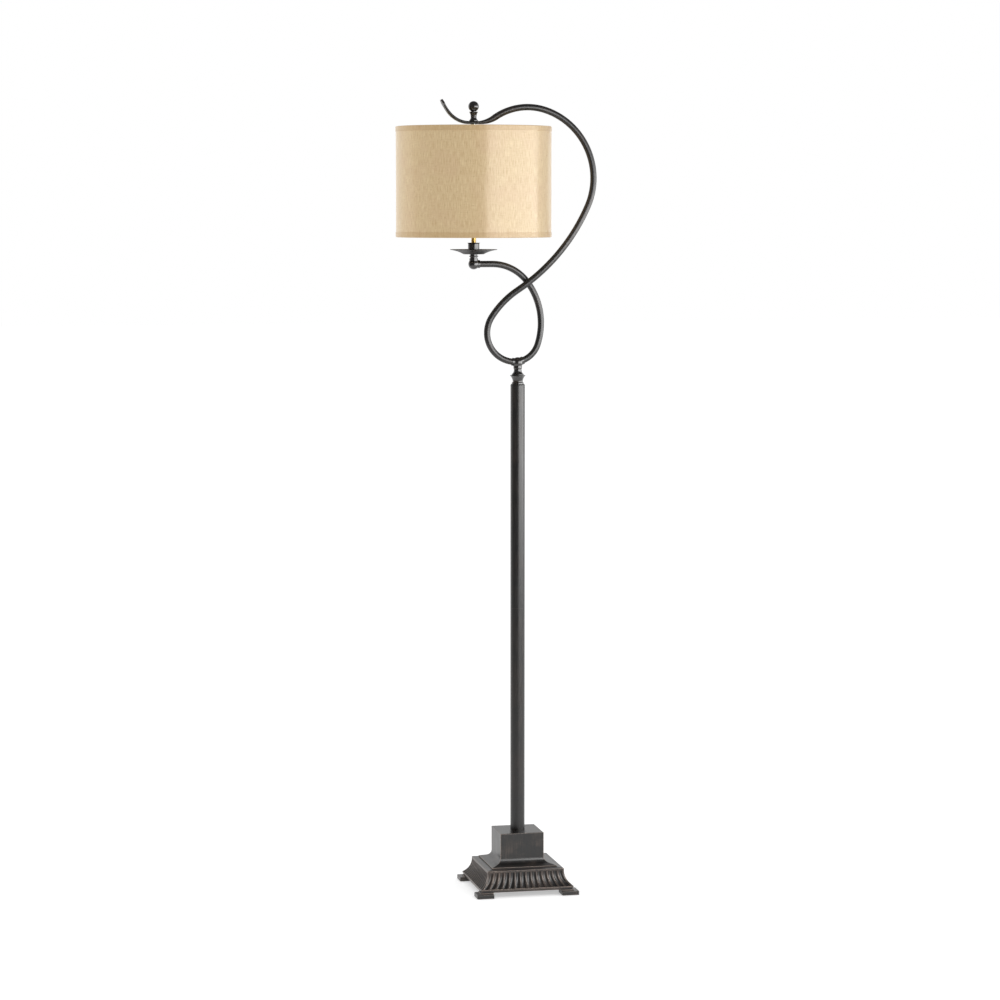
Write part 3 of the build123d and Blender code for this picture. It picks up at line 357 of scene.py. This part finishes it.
# Sand-cast zinc alloy, bronzed and wiped downwards: streaks, copper on every arris, and painted light and
# shade in the flutes
CASTING = RubbedBronze("bronzed_casting", ground="#141414", warm="#241c17", copper="#a6958a", relief_mm=0.08,
                       grain_mm=1.6, cloud_mm=45.0, edge_mm=1.2, rub_and_flute_light=0.8, flute_light_mm=2.4, brush=Brush.UPRIGHT)
# Drawn steel tube, bronzed: even satin with long faint strokes and few brown clouds
TUBE = RubbedBronze("bronzed_tube", roughness=0.33, cloud_mm=110.0, rub_and_flute_light=0.25, brush=Brush.UPRIGHT)
# The same tube bent into the arms, where the strokes turn every way
ARM = RubbedBronze("bronzed_arm", roughness=0.33, cloud_mm=70.0, stroke_mm=3.0, rub_and_flute_light=0.3)
# Turned pieces, bronzed and burnished: the glossiest of the five
TURNED = RubbedBronze("bronzed_turning", roughness=0.20, swing=0.04, relief_mm=0.02, cloud_mm=14.0,
                      edge_mm=0.4, rub_and_flute_light=0.35, brush=Brush.ROUND, gloss=0.6)
# Spun sheet of the dish, bronzed and left duller than the turned pieces
SPUN = RubbedBronze("bronzed_spinning", roughness=0.42, swing=0.05, relief_mm=0.02, cloud_mm=20.0,
                    edge_mm=0.3, rub_and_flute_light=0.4, brush=Brush.ROUND, specular=0.3)
# Grey iron as cast, sealed with thin black paint
BALLAST = PlainFinish("cast_iron", "#2b2b2b", "#3d3c3a", 0.65, grain_mm=2.5, relief_mm=0.25)
# Steel with bright zinc plate and faint crystals
ZINC = PlainFinish("zinc_plate", "#9da3a4", "#c3c7c4", 0.34, metallic=1.0, grain_mm=3.0)
# Sheet steel with black stoving enamel
STOVED = PlainFinish("black_enamel", "#0f0f10", "#1a1a1a", 0.45, grain_mm=0.9, relief_mm=0.03)
# Wire with white stoving enamel
WHITE_WIRE = PlainFinish("white_enamel", "#dcdad2", "#eceae4", 0.35, grain_mm=6.0, gloss=0.3)
# Rolled and turned brass under clear lacquer, with rings from the tool and a little tarnish
BRASS = PlainFinish("brass", "#c4a866", "#dfcb94", 0.24, swing=0.03, metallic=1.0, grain_mm=3.0,
                    stretch=(0.5, 0.5, 4.0), gloss=0.3)
# Moulded black rubber
RUBBER = PlainFinish("rubber", "#111111", "#1c1b1a", 0.72, grain_mm=0.6, relief_mm=0.04)
# Extruded brown PVC on the lead
PVC = PlainFinish("pvc", "#2b1b12", "#38251a", 0.42, grain_mm=8.0)
# Pressed wool felt: matt and hairy
FELT = PlainFinish("wool_felt", "#3a291d", "#5a4230", 0.95, swing=0.03, grain_mm=0.7, relief_mm=0.3,
                   sheen=0.6)
# Compression-moulded phenolic, nearly black, with a moulded gloss
PHENOLIC = PlainFinish("phenolic", "#0d0b0a", "#17130f", 0.24, grain_mm=4.0, gloss=0.2)
# Rolled aluminium screw cap of a bulb
ALUMINIUM = PlainFinish("aluminium", "#b5b7b8", "#cfd0d0", 0.3, metallic=1.0, grain_mm=2.0,
                        stretch=(0.3, 0.3, 3.0))
# Blown glass with a white coat inside: soft white under a clear gloss
BULB_GLASS = PlainFinish("coated_glass", "#ece9e1", "#f6f4ee", 0.42, grain_mm=18.0, relief_mm=0.0,
                         gloss=1.0, glow=0.3)
# Styrene sheet behind the cloth: warm white, smooth, faintly translucent
STYRENE = PlainFinish("styrene_sheet", "#efe3c8", "#f6ecd6", 0.55, grain_mm=30.0, glow=0.2)
# The cover of the shade, and the same cloth cut for the bands, which lies a shade darker
COVER = SatinCloth("satin_cover")
BAND = SatinCloth("satin_band", ground="#cba978", pale="#ddc192", fleck="#b89563", height_mm=10.0,
                  slub_mm=12.0, roughness=0.44)

DRESSED_NODES = (
    (CASTING, ("base_casting", "plinth_block", "foot_front_left", "foot_front_right", "foot_rear_left",
               "foot_rear_right")),
    (TUBE, ("pole_lower", "pole_upper")),
    (ARM, ("shade_arm", "candle_arm")),
    (TURNED, ("pole_neck", "arm_hub", "candle_ball", "candle_neck", "candle_cup", "finial")),
    (SPUN, ("drip_dish",)),
    (BALLAST, ("base_weight",)),
    (STOVED, ("bottom_plate",)),
    (ZINC, ("plate_screws", "foot_screws", "clamp_pipe", "clamp_washer", "clamp_nut", "pole_foot_bush",
            "pole_coupler", "pole_top_bush", "stud_spacer", "spider_nut")),
    (RUBBER, ("cord_bushing",)),
    (PVC, ("lead_wire",)),
    (BRASS, ("nipple_nut", "socket_cap", "socket_shell", "screw_shell", "socket_contact")),
    (PHENOLIC, ("socket_body", "switch_knob")),
    (ALUMINIUM, ("bulb_cap",)),
    (BULB_GLASS, ("bulb_glass",)),
    (STYRENE, ("shade_backing",)),
    (WHITE_WIRE, ("shade_spider", "shade_bottom_ring")),
)


def arc(centre: tuple[float, float], radius: float, start: float, end: float,
        steps: int) -> list[tuple[float, float]]:
    """Points of an arc in a section.

    Args:
        centre: Middle of the arc.
        radius: Its radius.
        start: Angle of its first point in degrees.
        end: Angle of its last point in degrees.
        steps: Number of equal steps between them.

    Returns:
        The points, both ends included.
    """
    angles = [math.radians(start + (end - start) * step / steps) for step in range(steps + 1)]
    return [(centre[0] + radius * math.cos(a), centre[1] + radius * math.sin(a)) for a in angles]


def spun(section: Sequence[tuple[float, float]], axis: Vector, start: float, steps: int,
         closed: bool = True) -> bmesh.types.BMesh:
    """Spins a section of (radius, height) points once round an upright axis.

    Args:
        section: The points in metres.
        axis: A point on the axis.
        start: Angle of the section in radians.
        steps: Number of steps in the full turn.
        closed: Whether the section's last point joins its first.

    Returns:
        The spun mesh.
    """
    mesh = bmesh.new()
    points = [mesh.verts.new((axis.x + radius, axis.y, height)) for radius, height in section]
    pairs = list(zip(points, points[1:] + points[:1] if closed else points[1:]))
    edges = [mesh.edges.new(pair) for pair in pairs]
    bmesh.ops.rotate(mesh, verts=points, cent=axis, matrix=Matrix.Rotation(start, 3, "Z"))
    bmesh.ops.spin(mesh, geom=points + edges, cent=axis, axis=(0, 0, 1), angle=FULL_TURN, steps=steps,
                   use_merge=True)
    bmesh.ops.remove_doubles(mesh, verts=mesh.verts, dist=MERGE)
    bmesh.ops.recalc_face_normals(mesh, faces=mesh.faces)
    return mesh


def add_object(mesh: bmesh.types.BMesh, name: str, material: bpy.types.Material) -> bpy.types.Object:
    """Turns a finished mesh into an object of the scene.

    Args:
        mesh: The mesh in metres.
        name: The name of the object.
        material: Its one material.

    Returns:
        The object.
    """
    data = bpy.data.meshes.new(name)
    mesh.to_mesh(data)
    mesh.free()
    data.materials.append(material)
    made = bpy.data.objects.new(name, data)
    bpy.context.scene.collection.objects.link(made)
    return made


def add_piece(mesh: bmesh.types.BMesh, name: str, body: str, material: bpy.types.Material,
              replaces: Iterable[str]) -> bpy.types.Object:
    """Turns a finished mesh into a named piece that rides on a body.

    Args:
        mesh: The mesh in metres, in the frame of the lamp.
        name: The piece's name.
        body: The body that carries it.
        material: Its finish.
        replaces: The nodes that it stands for.

    Returns:
        The piece.
    """
    for face in mesh.faces:
        face.smooth = True
    piece = add_object(mesh, name, material)
    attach(piece, body)
    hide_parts(*replaces)
    LOG.info("%s: %d faces on %s", name, len(piece.data.polygons), body)
    return piece


@dataclass
class Shade:
    """Cover and folded bands of the drum shade, in millimetres round the stud axis."""

    cover_mm: float = 0.45
    cover_inset_mm: float = 1.3
    cover_gap_mm: float = 0.02
    column_count: int = 480
    row_count: int = 60
    band_sheet_mm: float = 0.6
    band_turn_mm: float = 1.8
    band_flap_mm: float = 5.0
    band_clearance_mm: float = 0.65
    band_columns: int = 360
    row_shares: tuple[float, ...] = (0.75, 0.5, 0.32)
    ring_wire_mm: float = 3.0
    lap_mm: float = 12.0
    lap_rise_mm: float = 0.4
    seam_angle: float = math.radians(96)
    seam_nudge: float = 1e-5
    seam_gap_share: float = 0.04
    slack_mm: float = 0.2
    waves_round: float = 9.0
    waves_up: float = 14.0

    def __post_init__(self) -> None:
        """Reads the place and the size of the drum from the frame."""
        low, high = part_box("shade_drum")
        band_low, band_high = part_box("shade_top_trim")
        self.axis = Vector(((low.x + high.x) / 2, (low.y + high.y) / 2, 0))
        self.radius = (high.x - low.x) / 2
        self.rim = {"top": band_high.z, "bottom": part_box("shade_bottom_trim")[0].z}
        self.band_height = band_high.z - band_low.z
        self.band_radius = (band_high.x - band_low.x) / 2
        ring_low, ring_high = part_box("shade_bottom_ring")
        self.ring_radius = (ring_high.x - ring_low.x) / 2

    def lap(self, point: Vector) -> float:
        """Works out how far the cloth stands out where its free end lies over its other end.

        Args:
            point: A point on the cloth.

        Returns:
            Its rise in metres.
        """
        angle = math.atan2(point.y - self.axis.y, point.x - self.axis.x)
        past = (angle - self.seam_angle + self.seam_nudge) % FULL_TURN * self.radius
        return self.lap_rise_mm * MM * max(0.0, 1 - past / (self.lap_mm * MM)) ** 0.5

    def shaped(self, mesh: bmesh.types.BMesh, columns: int, slack: float) -> None:
        """Lays the lap and a little slack into a spun cloth, and draws the last column up to the seam.

        Args:
            mesh: The spun cloth.
            columns: Its number of columns.
            slack: Depth of the soft waves in metres.
        """
        step = FULL_TURN / columns
        for vertex in mesh.verts:
            away = vertex.co - self.axis
            angle = math.atan2(away.y, away.x)
            before = (self.seam_angle - angle) % FULL_TURN
            if 0.5 * step < before < 1.5 * step:
                angle = self.seam_angle - self.seam_gap_share * step
            radius = math.hypot(away.x, away.y)
            soft = noise.noise(Vector((math.cos(angle) * self.waves_round, math.sin(angle) * self.waves_round,
                                       vertex.co.z * self.waves_up)))
            turned = Vector((math.cos(angle), math.sin(angle), 0)) * radius
            rise = self.lap(self.axis + turned) + slack * soft
            vertex.co = self.axis + turned * (1 + rise / radius) + Vector((0, 0, vertex.co.z))

    def unwrap(self, mesh: bmesh.types.BMesh, bottom: float, height: float) -> None:
        """Gives a spun cloth a flat UV map from the seam round and from the bottom up.

        Args:
            mesh: The cloth.
            bottom: Height of its lower edge.
            height: Its height.
        """
        layer = mesh.loops.layers.uv.new("cloth")
        for face in mesh.faces:
            middle = face.calc_center_median() - self.axis
            share = (math.atan2(middle.y, middle.x) - self.seam_angle) % FULL_TURN
            for loop in face.loops:
                away = loop.vert.co - self.axis
                turn = (math.atan2(away.y, away.x) - self.seam_angle) % FULL_TURN
                if abs(turn - share) > math.pi:
                    turn += math.copysign(FULL_TURN, share - turn)
                loop[layer].uv = (turn / FULL_TURN, (loop.vert.co.z - bottom) / height)

    def cover(self) -> bpy.types.Object:
        """Makes the cloth cover: one lapped sheet round the drum.

        Returns:
            The cover.
        """
        bottom = self.rim["bottom"] + self.cover_inset_mm * MM
        top = self.rim["top"] - self.cover_inset_mm * MM
        radius = self.radius - self.cover_gap_mm * MM
        inner = radius - self.cover_mm * MM
        rows = [bottom + (top - bottom) * row / self.row_count for row in range(self.row_count + 1)]
        section = [(radius, row) for row in rows] + [(inner, row) for row in reversed(rows[::4])]
        mesh = spun(section, self.axis, self.seam_angle, self.column_count)
        self.shaped(mesh, self.column_count, self.slack_mm * MM)
        self.unwrap(mesh, bottom, top - bottom)
        piece = add_piece(mesh, "shade_cover", "shade", COVER.material(), ["shade_drum"])
        self.flat = (FULL_TURN * radius, top - bottom)
        return piece

    def band(self, end: str, material: bpy.types.Material) -> bpy.types.Object:
        """Makes the folded band over one rim.

        Args:
            end: The rim, top or bottom.
            material: The cloth of the band.

        Returns:
            The band.
        """
        sheet = self.band_sheet_mm * MM
        turn = self.band_turn_mm * MM
        outer = self.band_radius
        inner = self.ring_radius - self.ring_wire_mm * MM - self.band_clearance_mm * MM
        fold = sheet / 2
        section = arc((outer - fold, self.band_height - fold), fold, 150, 0, 6)
        section += [(outer, self.band_height * share) for share in self.row_shares]
        section += arc((outer - turn, turn), turn, 0, -90, 8)
        section += arc((inner + turn, turn), turn, -90, -180, 8)
        section += [(inner, self.band_flap_mm * MM), (inner + sheet, self.band_flap_mm * MM)]
        section += arc((inner + turn, turn), turn - sheet, -180, -90, 6)
        section += arc((outer - turn, turn), turn - sheet, -90, 0, 6)
        sign = -1 if end == "top" else 1
        rim = self.rim[end]
        mesh = spun([(radius, rim + sign * depth) for radius, depth in section], self.axis,
                    self.seam_angle, self.band_columns)
        self.shaped(mesh, self.band_columns, 0.5 * self.slack_mm * MM)
        self.unwrap(mesh, min(rim, rim + sign * self.band_height), self.band_height)
        node = f"shade_{end}_trim"
        return add_piece(mesh, f"shade_{end}_band", "shade", material, [node])

    def build(self) -> None:
        cover = self.cover()
        cloth = BAND.material()
        bands = [self.band(end, cloth) for end in ("top", "bottom")]


@dataclass
class FeltGlides:
    """Four square felt glides under the feet, in millimetres."""

    side_mm: float = 24.0
    corner_mm: float = 2.2
    edge_mm: float = 0.35
    cuts: int = 14
    fuzz_mm: float = 0.12
    hair_mm: float = 1.2
    face_mm: float = 0.01

    def build(self) -> None:
        """Makes the four glides as one piece with soft, slightly hairy sides."""
        low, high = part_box("felt_glides")
        side = self.side_mm * MM
        place = high.x - side / 2
        mesh = bmesh.new()
        for x in (-place, place):
            for y in (-place, place):
                seat = Matrix.Translation((x, y, (low.z + high.z) / 2))
                size = Matrix.Diagonal((side, side, high.z - low.z, 1))
                bmesh.ops.create_cube(mesh, size=1.0, matrix=seat @ size)
        upright = [e for e in mesh.edges if abs(e.verts[0].co.z - e.verts[1].co.z) > MM]
        bmesh.ops.bevel(mesh, geom=upright, offset=self.corner_mm * MM, segments=5, profile=0.5,
                        affect="EDGES", material=-1)
        level = [e for e in mesh.edges if abs(e.verts[0].co.z - e.verts[1].co.z) < MERGE]
        bmesh.ops.bevel(mesh, geom=level, offset=self.edge_mm * MM, segments=2, profile=0.5,
                        affect="EDGES", material=-1)
        sides = [e for e in mesh.edges if e.calc_length() > self.corner_mm * MM]
        bmesh.ops.subdivide_edges(mesh, edges=sides, cuts=self.cuts, use_grid_fill=True)
        for vertex in mesh.verts:
            if low.z + self.face_mm * MM < vertex.co.z < high.z - self.face_mm * MM:
                hair = noise.noise(vertex.co * patterns_per_metre(self.hair_mm)) * self.fuzz_mm * MM
                centre = Vector((math.copysign(place, vertex.co.x), math.copysign(place, vertex.co.y),
                                 vertex.co.z))
                vertex.co += (vertex.co - centre).normalized() * min(0.0, hair)
        bmesh.ops.recalc_face_normals(mesh, faces=mesh.faces)
        add_piece(mesh, "felt_pads", "stand", FELT.material(), ["felt_glides"])


@dataclass
class ThreadedRod:
    """Rod or pipe with a rolled thread, in millimetres on an upright axis, which stands for one node."""

    node: str
    name: str
    slot: str
    finish: PlainFinish
    pitch_mm: float
    depth_mm: float
    bore_mm: float
    steps: int = 40
    spare_turns: int = 3
    crest_shares: tuple[float, float] = (0.42, 0.58)
    cut_tolerance: float = 1e-7

    def loop_at(self, mesh: bmesh.types.BMesh, height: float) -> list[bmesh.types.BMEdge]:
        """Finds the open edges of the thread at a height.

        Args:
            mesh: The thread.
            height: The height in metres.

        Returns:
            The edges.
        """
        return [e for e in mesh.edges if e.is_boundary and all(abs(v.co.z - height) < MERGE for v in e.verts)]

    def build(self) -> None:
        """Screws a zigzag section up the axis, cuts both ends square and closes them."""
        low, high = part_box(self.node)
        axis = Vector(((low.x + high.x) / 2, (low.y + high.y) / 2, 0))
        crest = (high.x - low.x) / 2
        root = crest - self.depth_mm * MM
        pitch = self.pitch_mm * MM
        turns = math.ceil((high.z - low.z) / pitch) + self.spare_turns
        flat_start, flat_end = self.crest_shares
        mesh = bmesh.new()
        points = []
        for turn in range(turns):
            start = low.z + (turn + 1 - self.spare_turns) * pitch
            for radius, share in ((root, 0.0), (crest, flat_start), (crest, flat_end)):
                points.append(mesh.verts.new((axis.x + radius, axis.y, start + share * pitch)))
        edges = [mesh.edges.new(pair) for pair in zip(points, points[1:])]
        bmesh.ops.spin(mesh, geom=points + edges, cent=axis, axis=(0, 0, 1), dvec=(0, 0, pitch / self.steps),
                       angle=FULL_TURN, steps=self.steps)
        bmesh.ops.remove_doubles(mesh, verts=mesh.verts, dist=MERGE)
        for height, way in ((low.z, -1), (high.z, 1)):
            bmesh.ops.bisect_plane(mesh, geom=mesh.verts[:] + mesh.edges[:] + mesh.faces[:],
                                   dist=self.cut_tolerance, plane_co=(0, 0, height),
                                   plane_no=(0, 0, way), clear_outer=True)
        rings = []
        for height in (low.z, high.z):
            outer = self.loop_at(mesh, height)
            if self.bore_mm:
                made = bmesh.ops.create_circle(mesh, segments=self.steps, radius=self.bore_mm * MM,
                                               matrix=Matrix.Translation((axis.x, axis.y, height)))
                ring = list({e for v in made["verts"] for e in v.link_edges})
                bmesh.ops.bridge_loops(mesh, edges=outer + ring)
                rings += ring
            else:
                bmesh.ops.holes_fill(mesh, edges=outer)
        if rings:
            bmesh.ops.bridge_loops(mesh, edges=rings)
        bmesh.ops.recalc_face_normals(mesh, faces=mesh.faces)
        piece = add_piece(mesh, self.name, "stand", self.finish.material(), [self.node])
        for polygon in piece.data.polygons:
            polygon.use_smooth = False


@dataclass
class Studio:
    """Pale floor, white surroundings, two screens that only gloss sees, two soft lamps and the camera.

    Lengths are in metres, angles in degrees.
    """

    camera_distance: float = 6.2964
    camera_side: float = 0.0351
    camera_height: float = 1.3675
    camera_heading: float = 12.158
    camera_dip: float = 5.310
    lens_mm: float = 114.31
    sensor_mm: float = 36.0
    floor_size: float = 60.0
    floor_paint: str = "#e6e6e6"
    surround_light: float = 0.74
    floor_camera_light: float = 0.46
    ceiling_radius: float = 9.0
    ceiling_height: float = 6.0
    ceiling_segments: int = 64
    screen_steps: int = 40
    wall_radius: float = 2.4
    wall_turn: tuple[float, float] = (-110.0, 4.0)
    grey_light: float = 0.2
    reflector_radius: float = 1.9
    reflector_turn: tuple[float, float] = (5.5, 95.5)
    reflector_rise: tuple[float, float] = (0.52, 1.82)
    reflector_light: float = 6.0
    lamp_aim_height: float = 0.85

    def surface_light(self, tree: bpy.types.NodeTree) -> bpy.types.NodeSocket:
        """Tells the rays that see a surface from those that light it.

        Args:
            tree: The tree that asks.

        Returns:
            One for a ray from the camera, or one that glossy or clear stuff sends on, and otherwise zero.
        """
        path = add_node(tree, "ShaderNodeLightPath")
        seen = add_node(tree, "ShaderNodeMath", {"operation": "MAXIMUM"}, {
            0: path.outputs["Is Camera Ray"], 1: path.outputs["Is Glossy Ray"]})
        return add_node(tree, "ShaderNodeMath", {"operation": "MAXIMUM"}, {
            0: seen.outputs[0], 1: path.outputs["Is Transmission Ray"]}).outputs[0]

    def surroundings(self) -> None:
        """White to the eye and in reflections, and an even soft light on the lamp."""
        world = bpy.data.worlds.new("studio")
        bpy.context.scene.world = world
        world.use_nodes = True
        tree = world.node_tree
        tree.nodes.clear()
        light = add_node(tree, "ShaderNodeBackground", {}, {
            "Color": linear("#ffffff"), "Strength": self.surround_light})
        white = add_node(tree, "ShaderNodeBackground", {}, {"Color": linear("#ffffff"), "Strength": 1.0})
        mixed = add_node(tree, "ShaderNodeMixShader", {}, {
            0: self.surface_light(tree), 1: light.outputs[0], 2: white.outputs[0]})
        add_node(tree, "ShaderNodeOutputWorld", {}, {"Surface": mixed.outputs[0]})

    def floor(self) -> None:
        """Pale floor that keeps the lamp's soft shadow and runs out to white."""
        mesh = bmesh.new()
        bmesh.ops.create_grid(mesh, x_segments=1, y_segments=1, size=self.floor_size / 2)
        material, tree = empty_material("white_floor")
        paint = add_node(tree, "ShaderNodeBsdfDiffuse", {}, {"Color": linear(self.floor_paint)})
        strength = add_node(tree, "ShaderNodeMath", {"operation": "MULTIPLY"}, {
            0: self.surface_light(tree), 1: self.floor_camera_light})
        lit = add_node(tree, "ShaderNodeEmission", {}, {"Strength": strength.outputs[0]})
        both = add_node(tree, "ShaderNodeAddShader", {}, {0: paint.outputs[0], 1: lit.outputs[0]})
        add_node(tree, "ShaderNodeOutputMaterial", {}, {"Surface": both.outputs[0]})
        add_object(mesh, "floor", material)

    def screen(self, name: str, radius: float, turn: tuple[float, float], rise: tuple[float, float],
               light: float, roof: bool = False) -> None:
        """Stands a curved screen round the lamp that only its gloss sees.

        Args:
            name: Name of the screen.
            radius: Its distance from the pole.
            turn: Headings of its two ends in degrees, from the front towards +X.
            rise: Heights of its lower and upper edge.
            light: How bright it looks, where one is white.
            roof: Whether a round ceiling lies at its upper edge.
        """
        mesh = bmesh.new()
        feet = [mesh.verts.new((0, -radius, height)) for height in rise]
        edge = mesh.edges.new(feet)
        start, stop = (math.radians(end) for end in turn)
        bmesh.ops.rotate(mesh, verts=feet, cent=(0, 0, 0), matrix=Matrix.Rotation(start, 3, "Z"))
        bmesh.ops.spin(mesh, geom=feet + [edge], cent=(0, 0, 0), axis=(0, 0, 1), angle=stop - start,
                       steps=self.screen_steps)
        if roof:
            bmesh.ops.create_circle(mesh, cap_ends=True, segments=self.ceiling_segments,
                                    radius=self.ceiling_radius, matrix=Matrix.Translation((0, 0, rise[1])))
        material, tree = empty_material(name)
        glow = add_node(tree, "ShaderNodeEmission", {}, {"Strength": light})
        add_node(tree, "ShaderNodeOutputMaterial", {}, {"Surface": glow.outputs[0]})
        screen = add_object(mesh, name, material)
        for ray in ("camera", "diffuse", "transmission", "volume_scatter", "shadow"):
            setattr(screen, f"visible_{ray}", False)

    def lamp(self, name: str, heading: float, distance: float, height: float, size: tuple[float, float],
             power: float) -> None:
        """Hangs one soft panel that faces the floor lamp.

        Args:
            name: Name of the panel.
            heading: Angle round the lamp in degrees, from the front towards +X.
            distance: Distance from the pole.
            height: Height of its middle.
            size: Its width and height.
            power: Its power in watts.
        """
        data = bpy.data.lights.new(name, "AREA")
        data.shape = "RECTANGLE"
        data.size, data.size_y = size
        data.energy = power
        panel = bpy.data.objects.new(name, data)
        turn = math.radians(heading)
        panel.location = (math.sin(turn) * distance, -math.cos(turn) * distance, height)
        aim = Vector((0, 0, self.lamp_aim_height)) - panel.location
        panel.rotation_euler = aim.to_track_quat("-Z", "Y").to_euler()
        panel.visible_glossy = False
        bpy.context.scene.collection.objects.link(panel)

    def camera(self) -> None:
        """Sets up the camera where the photograph was taken from."""
        data = bpy.data.cameras.new("camera")
        data.lens = self.lens_mm
        data.sensor_width = self.sensor_mm
        camera = bpy.data.objects.new("camera", data)
        heading = math.radians(self.camera_heading)
        ahead = Vector((math.sin(heading), math.cos(heading), 0))
        right = Vector((math.cos(heading), -math.sin(heading), 0))
        camera.location = (-ahead * self.camera_distance - right * self.camera_side
                           + Vector((0, 0, self.camera_height)))
        camera.rotation_euler = (math.radians(90 - self.camera_dip), 0, -heading)
        bpy.context.scene.collection.objects.link(camera)
        bpy.context.scene.camera = camera

    def build(self) -> None:
        """Makes everything round the lamp."""
        bpy.context.scene.view_settings.view_transform = "Standard"
        self.camera()
        self.surroundings()
        self.floor()
        self.screen("grey_wall", self.wall_radius, self.wall_turn, (0, self.ceiling_height), self.grey_light,
                    roof=True)
        self.screen("reflector", self.reflector_radius, self.reflector_turn, self.reflector_rise,
                    self.reflector_light)
        self.lamp("key_panel", heading=42.0, distance=2.0, height=1.2, size=(1.6, 1.8), power=12.0)
        self.lamp("fill_panel", heading=-102.0, distance=2.0, height=1.2, size=(1.4, 1.8), power=7.0)


def dress_nodes() -> None:
    """Gives every kept node its finish."""
    for finish, names in DRESSED_NODES:
        material = finish.material()
        for name in names:
            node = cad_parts[name]
            node.data.materials.clear()
            node.data.materials.append(material)
        LOG.info("%s: %s", finish.name, ", ".join(names))


def main() -> None:
    """Builds the lamp and its studio."""
    logging.basicConfig(level=logging.INFO, format="%(message)s")
    Studio().build()
    dress_nodes()
    Shade().build()
    FeltGlides().build()
    ThreadedRod("candle_nipple", "nipple_thread", "bare_brass", BRASS, pitch_mm=1.0, depth_mm=0.5,
                bore_mm=3.2).build()
    ThreadedRod("finial_stud", "stud_thread", "zinc_steel", ZINC, pitch_mm=0.8, depth_mm=0.4,
                bore_mm=0.0).build()


if __name__ == "__main__":
    main()
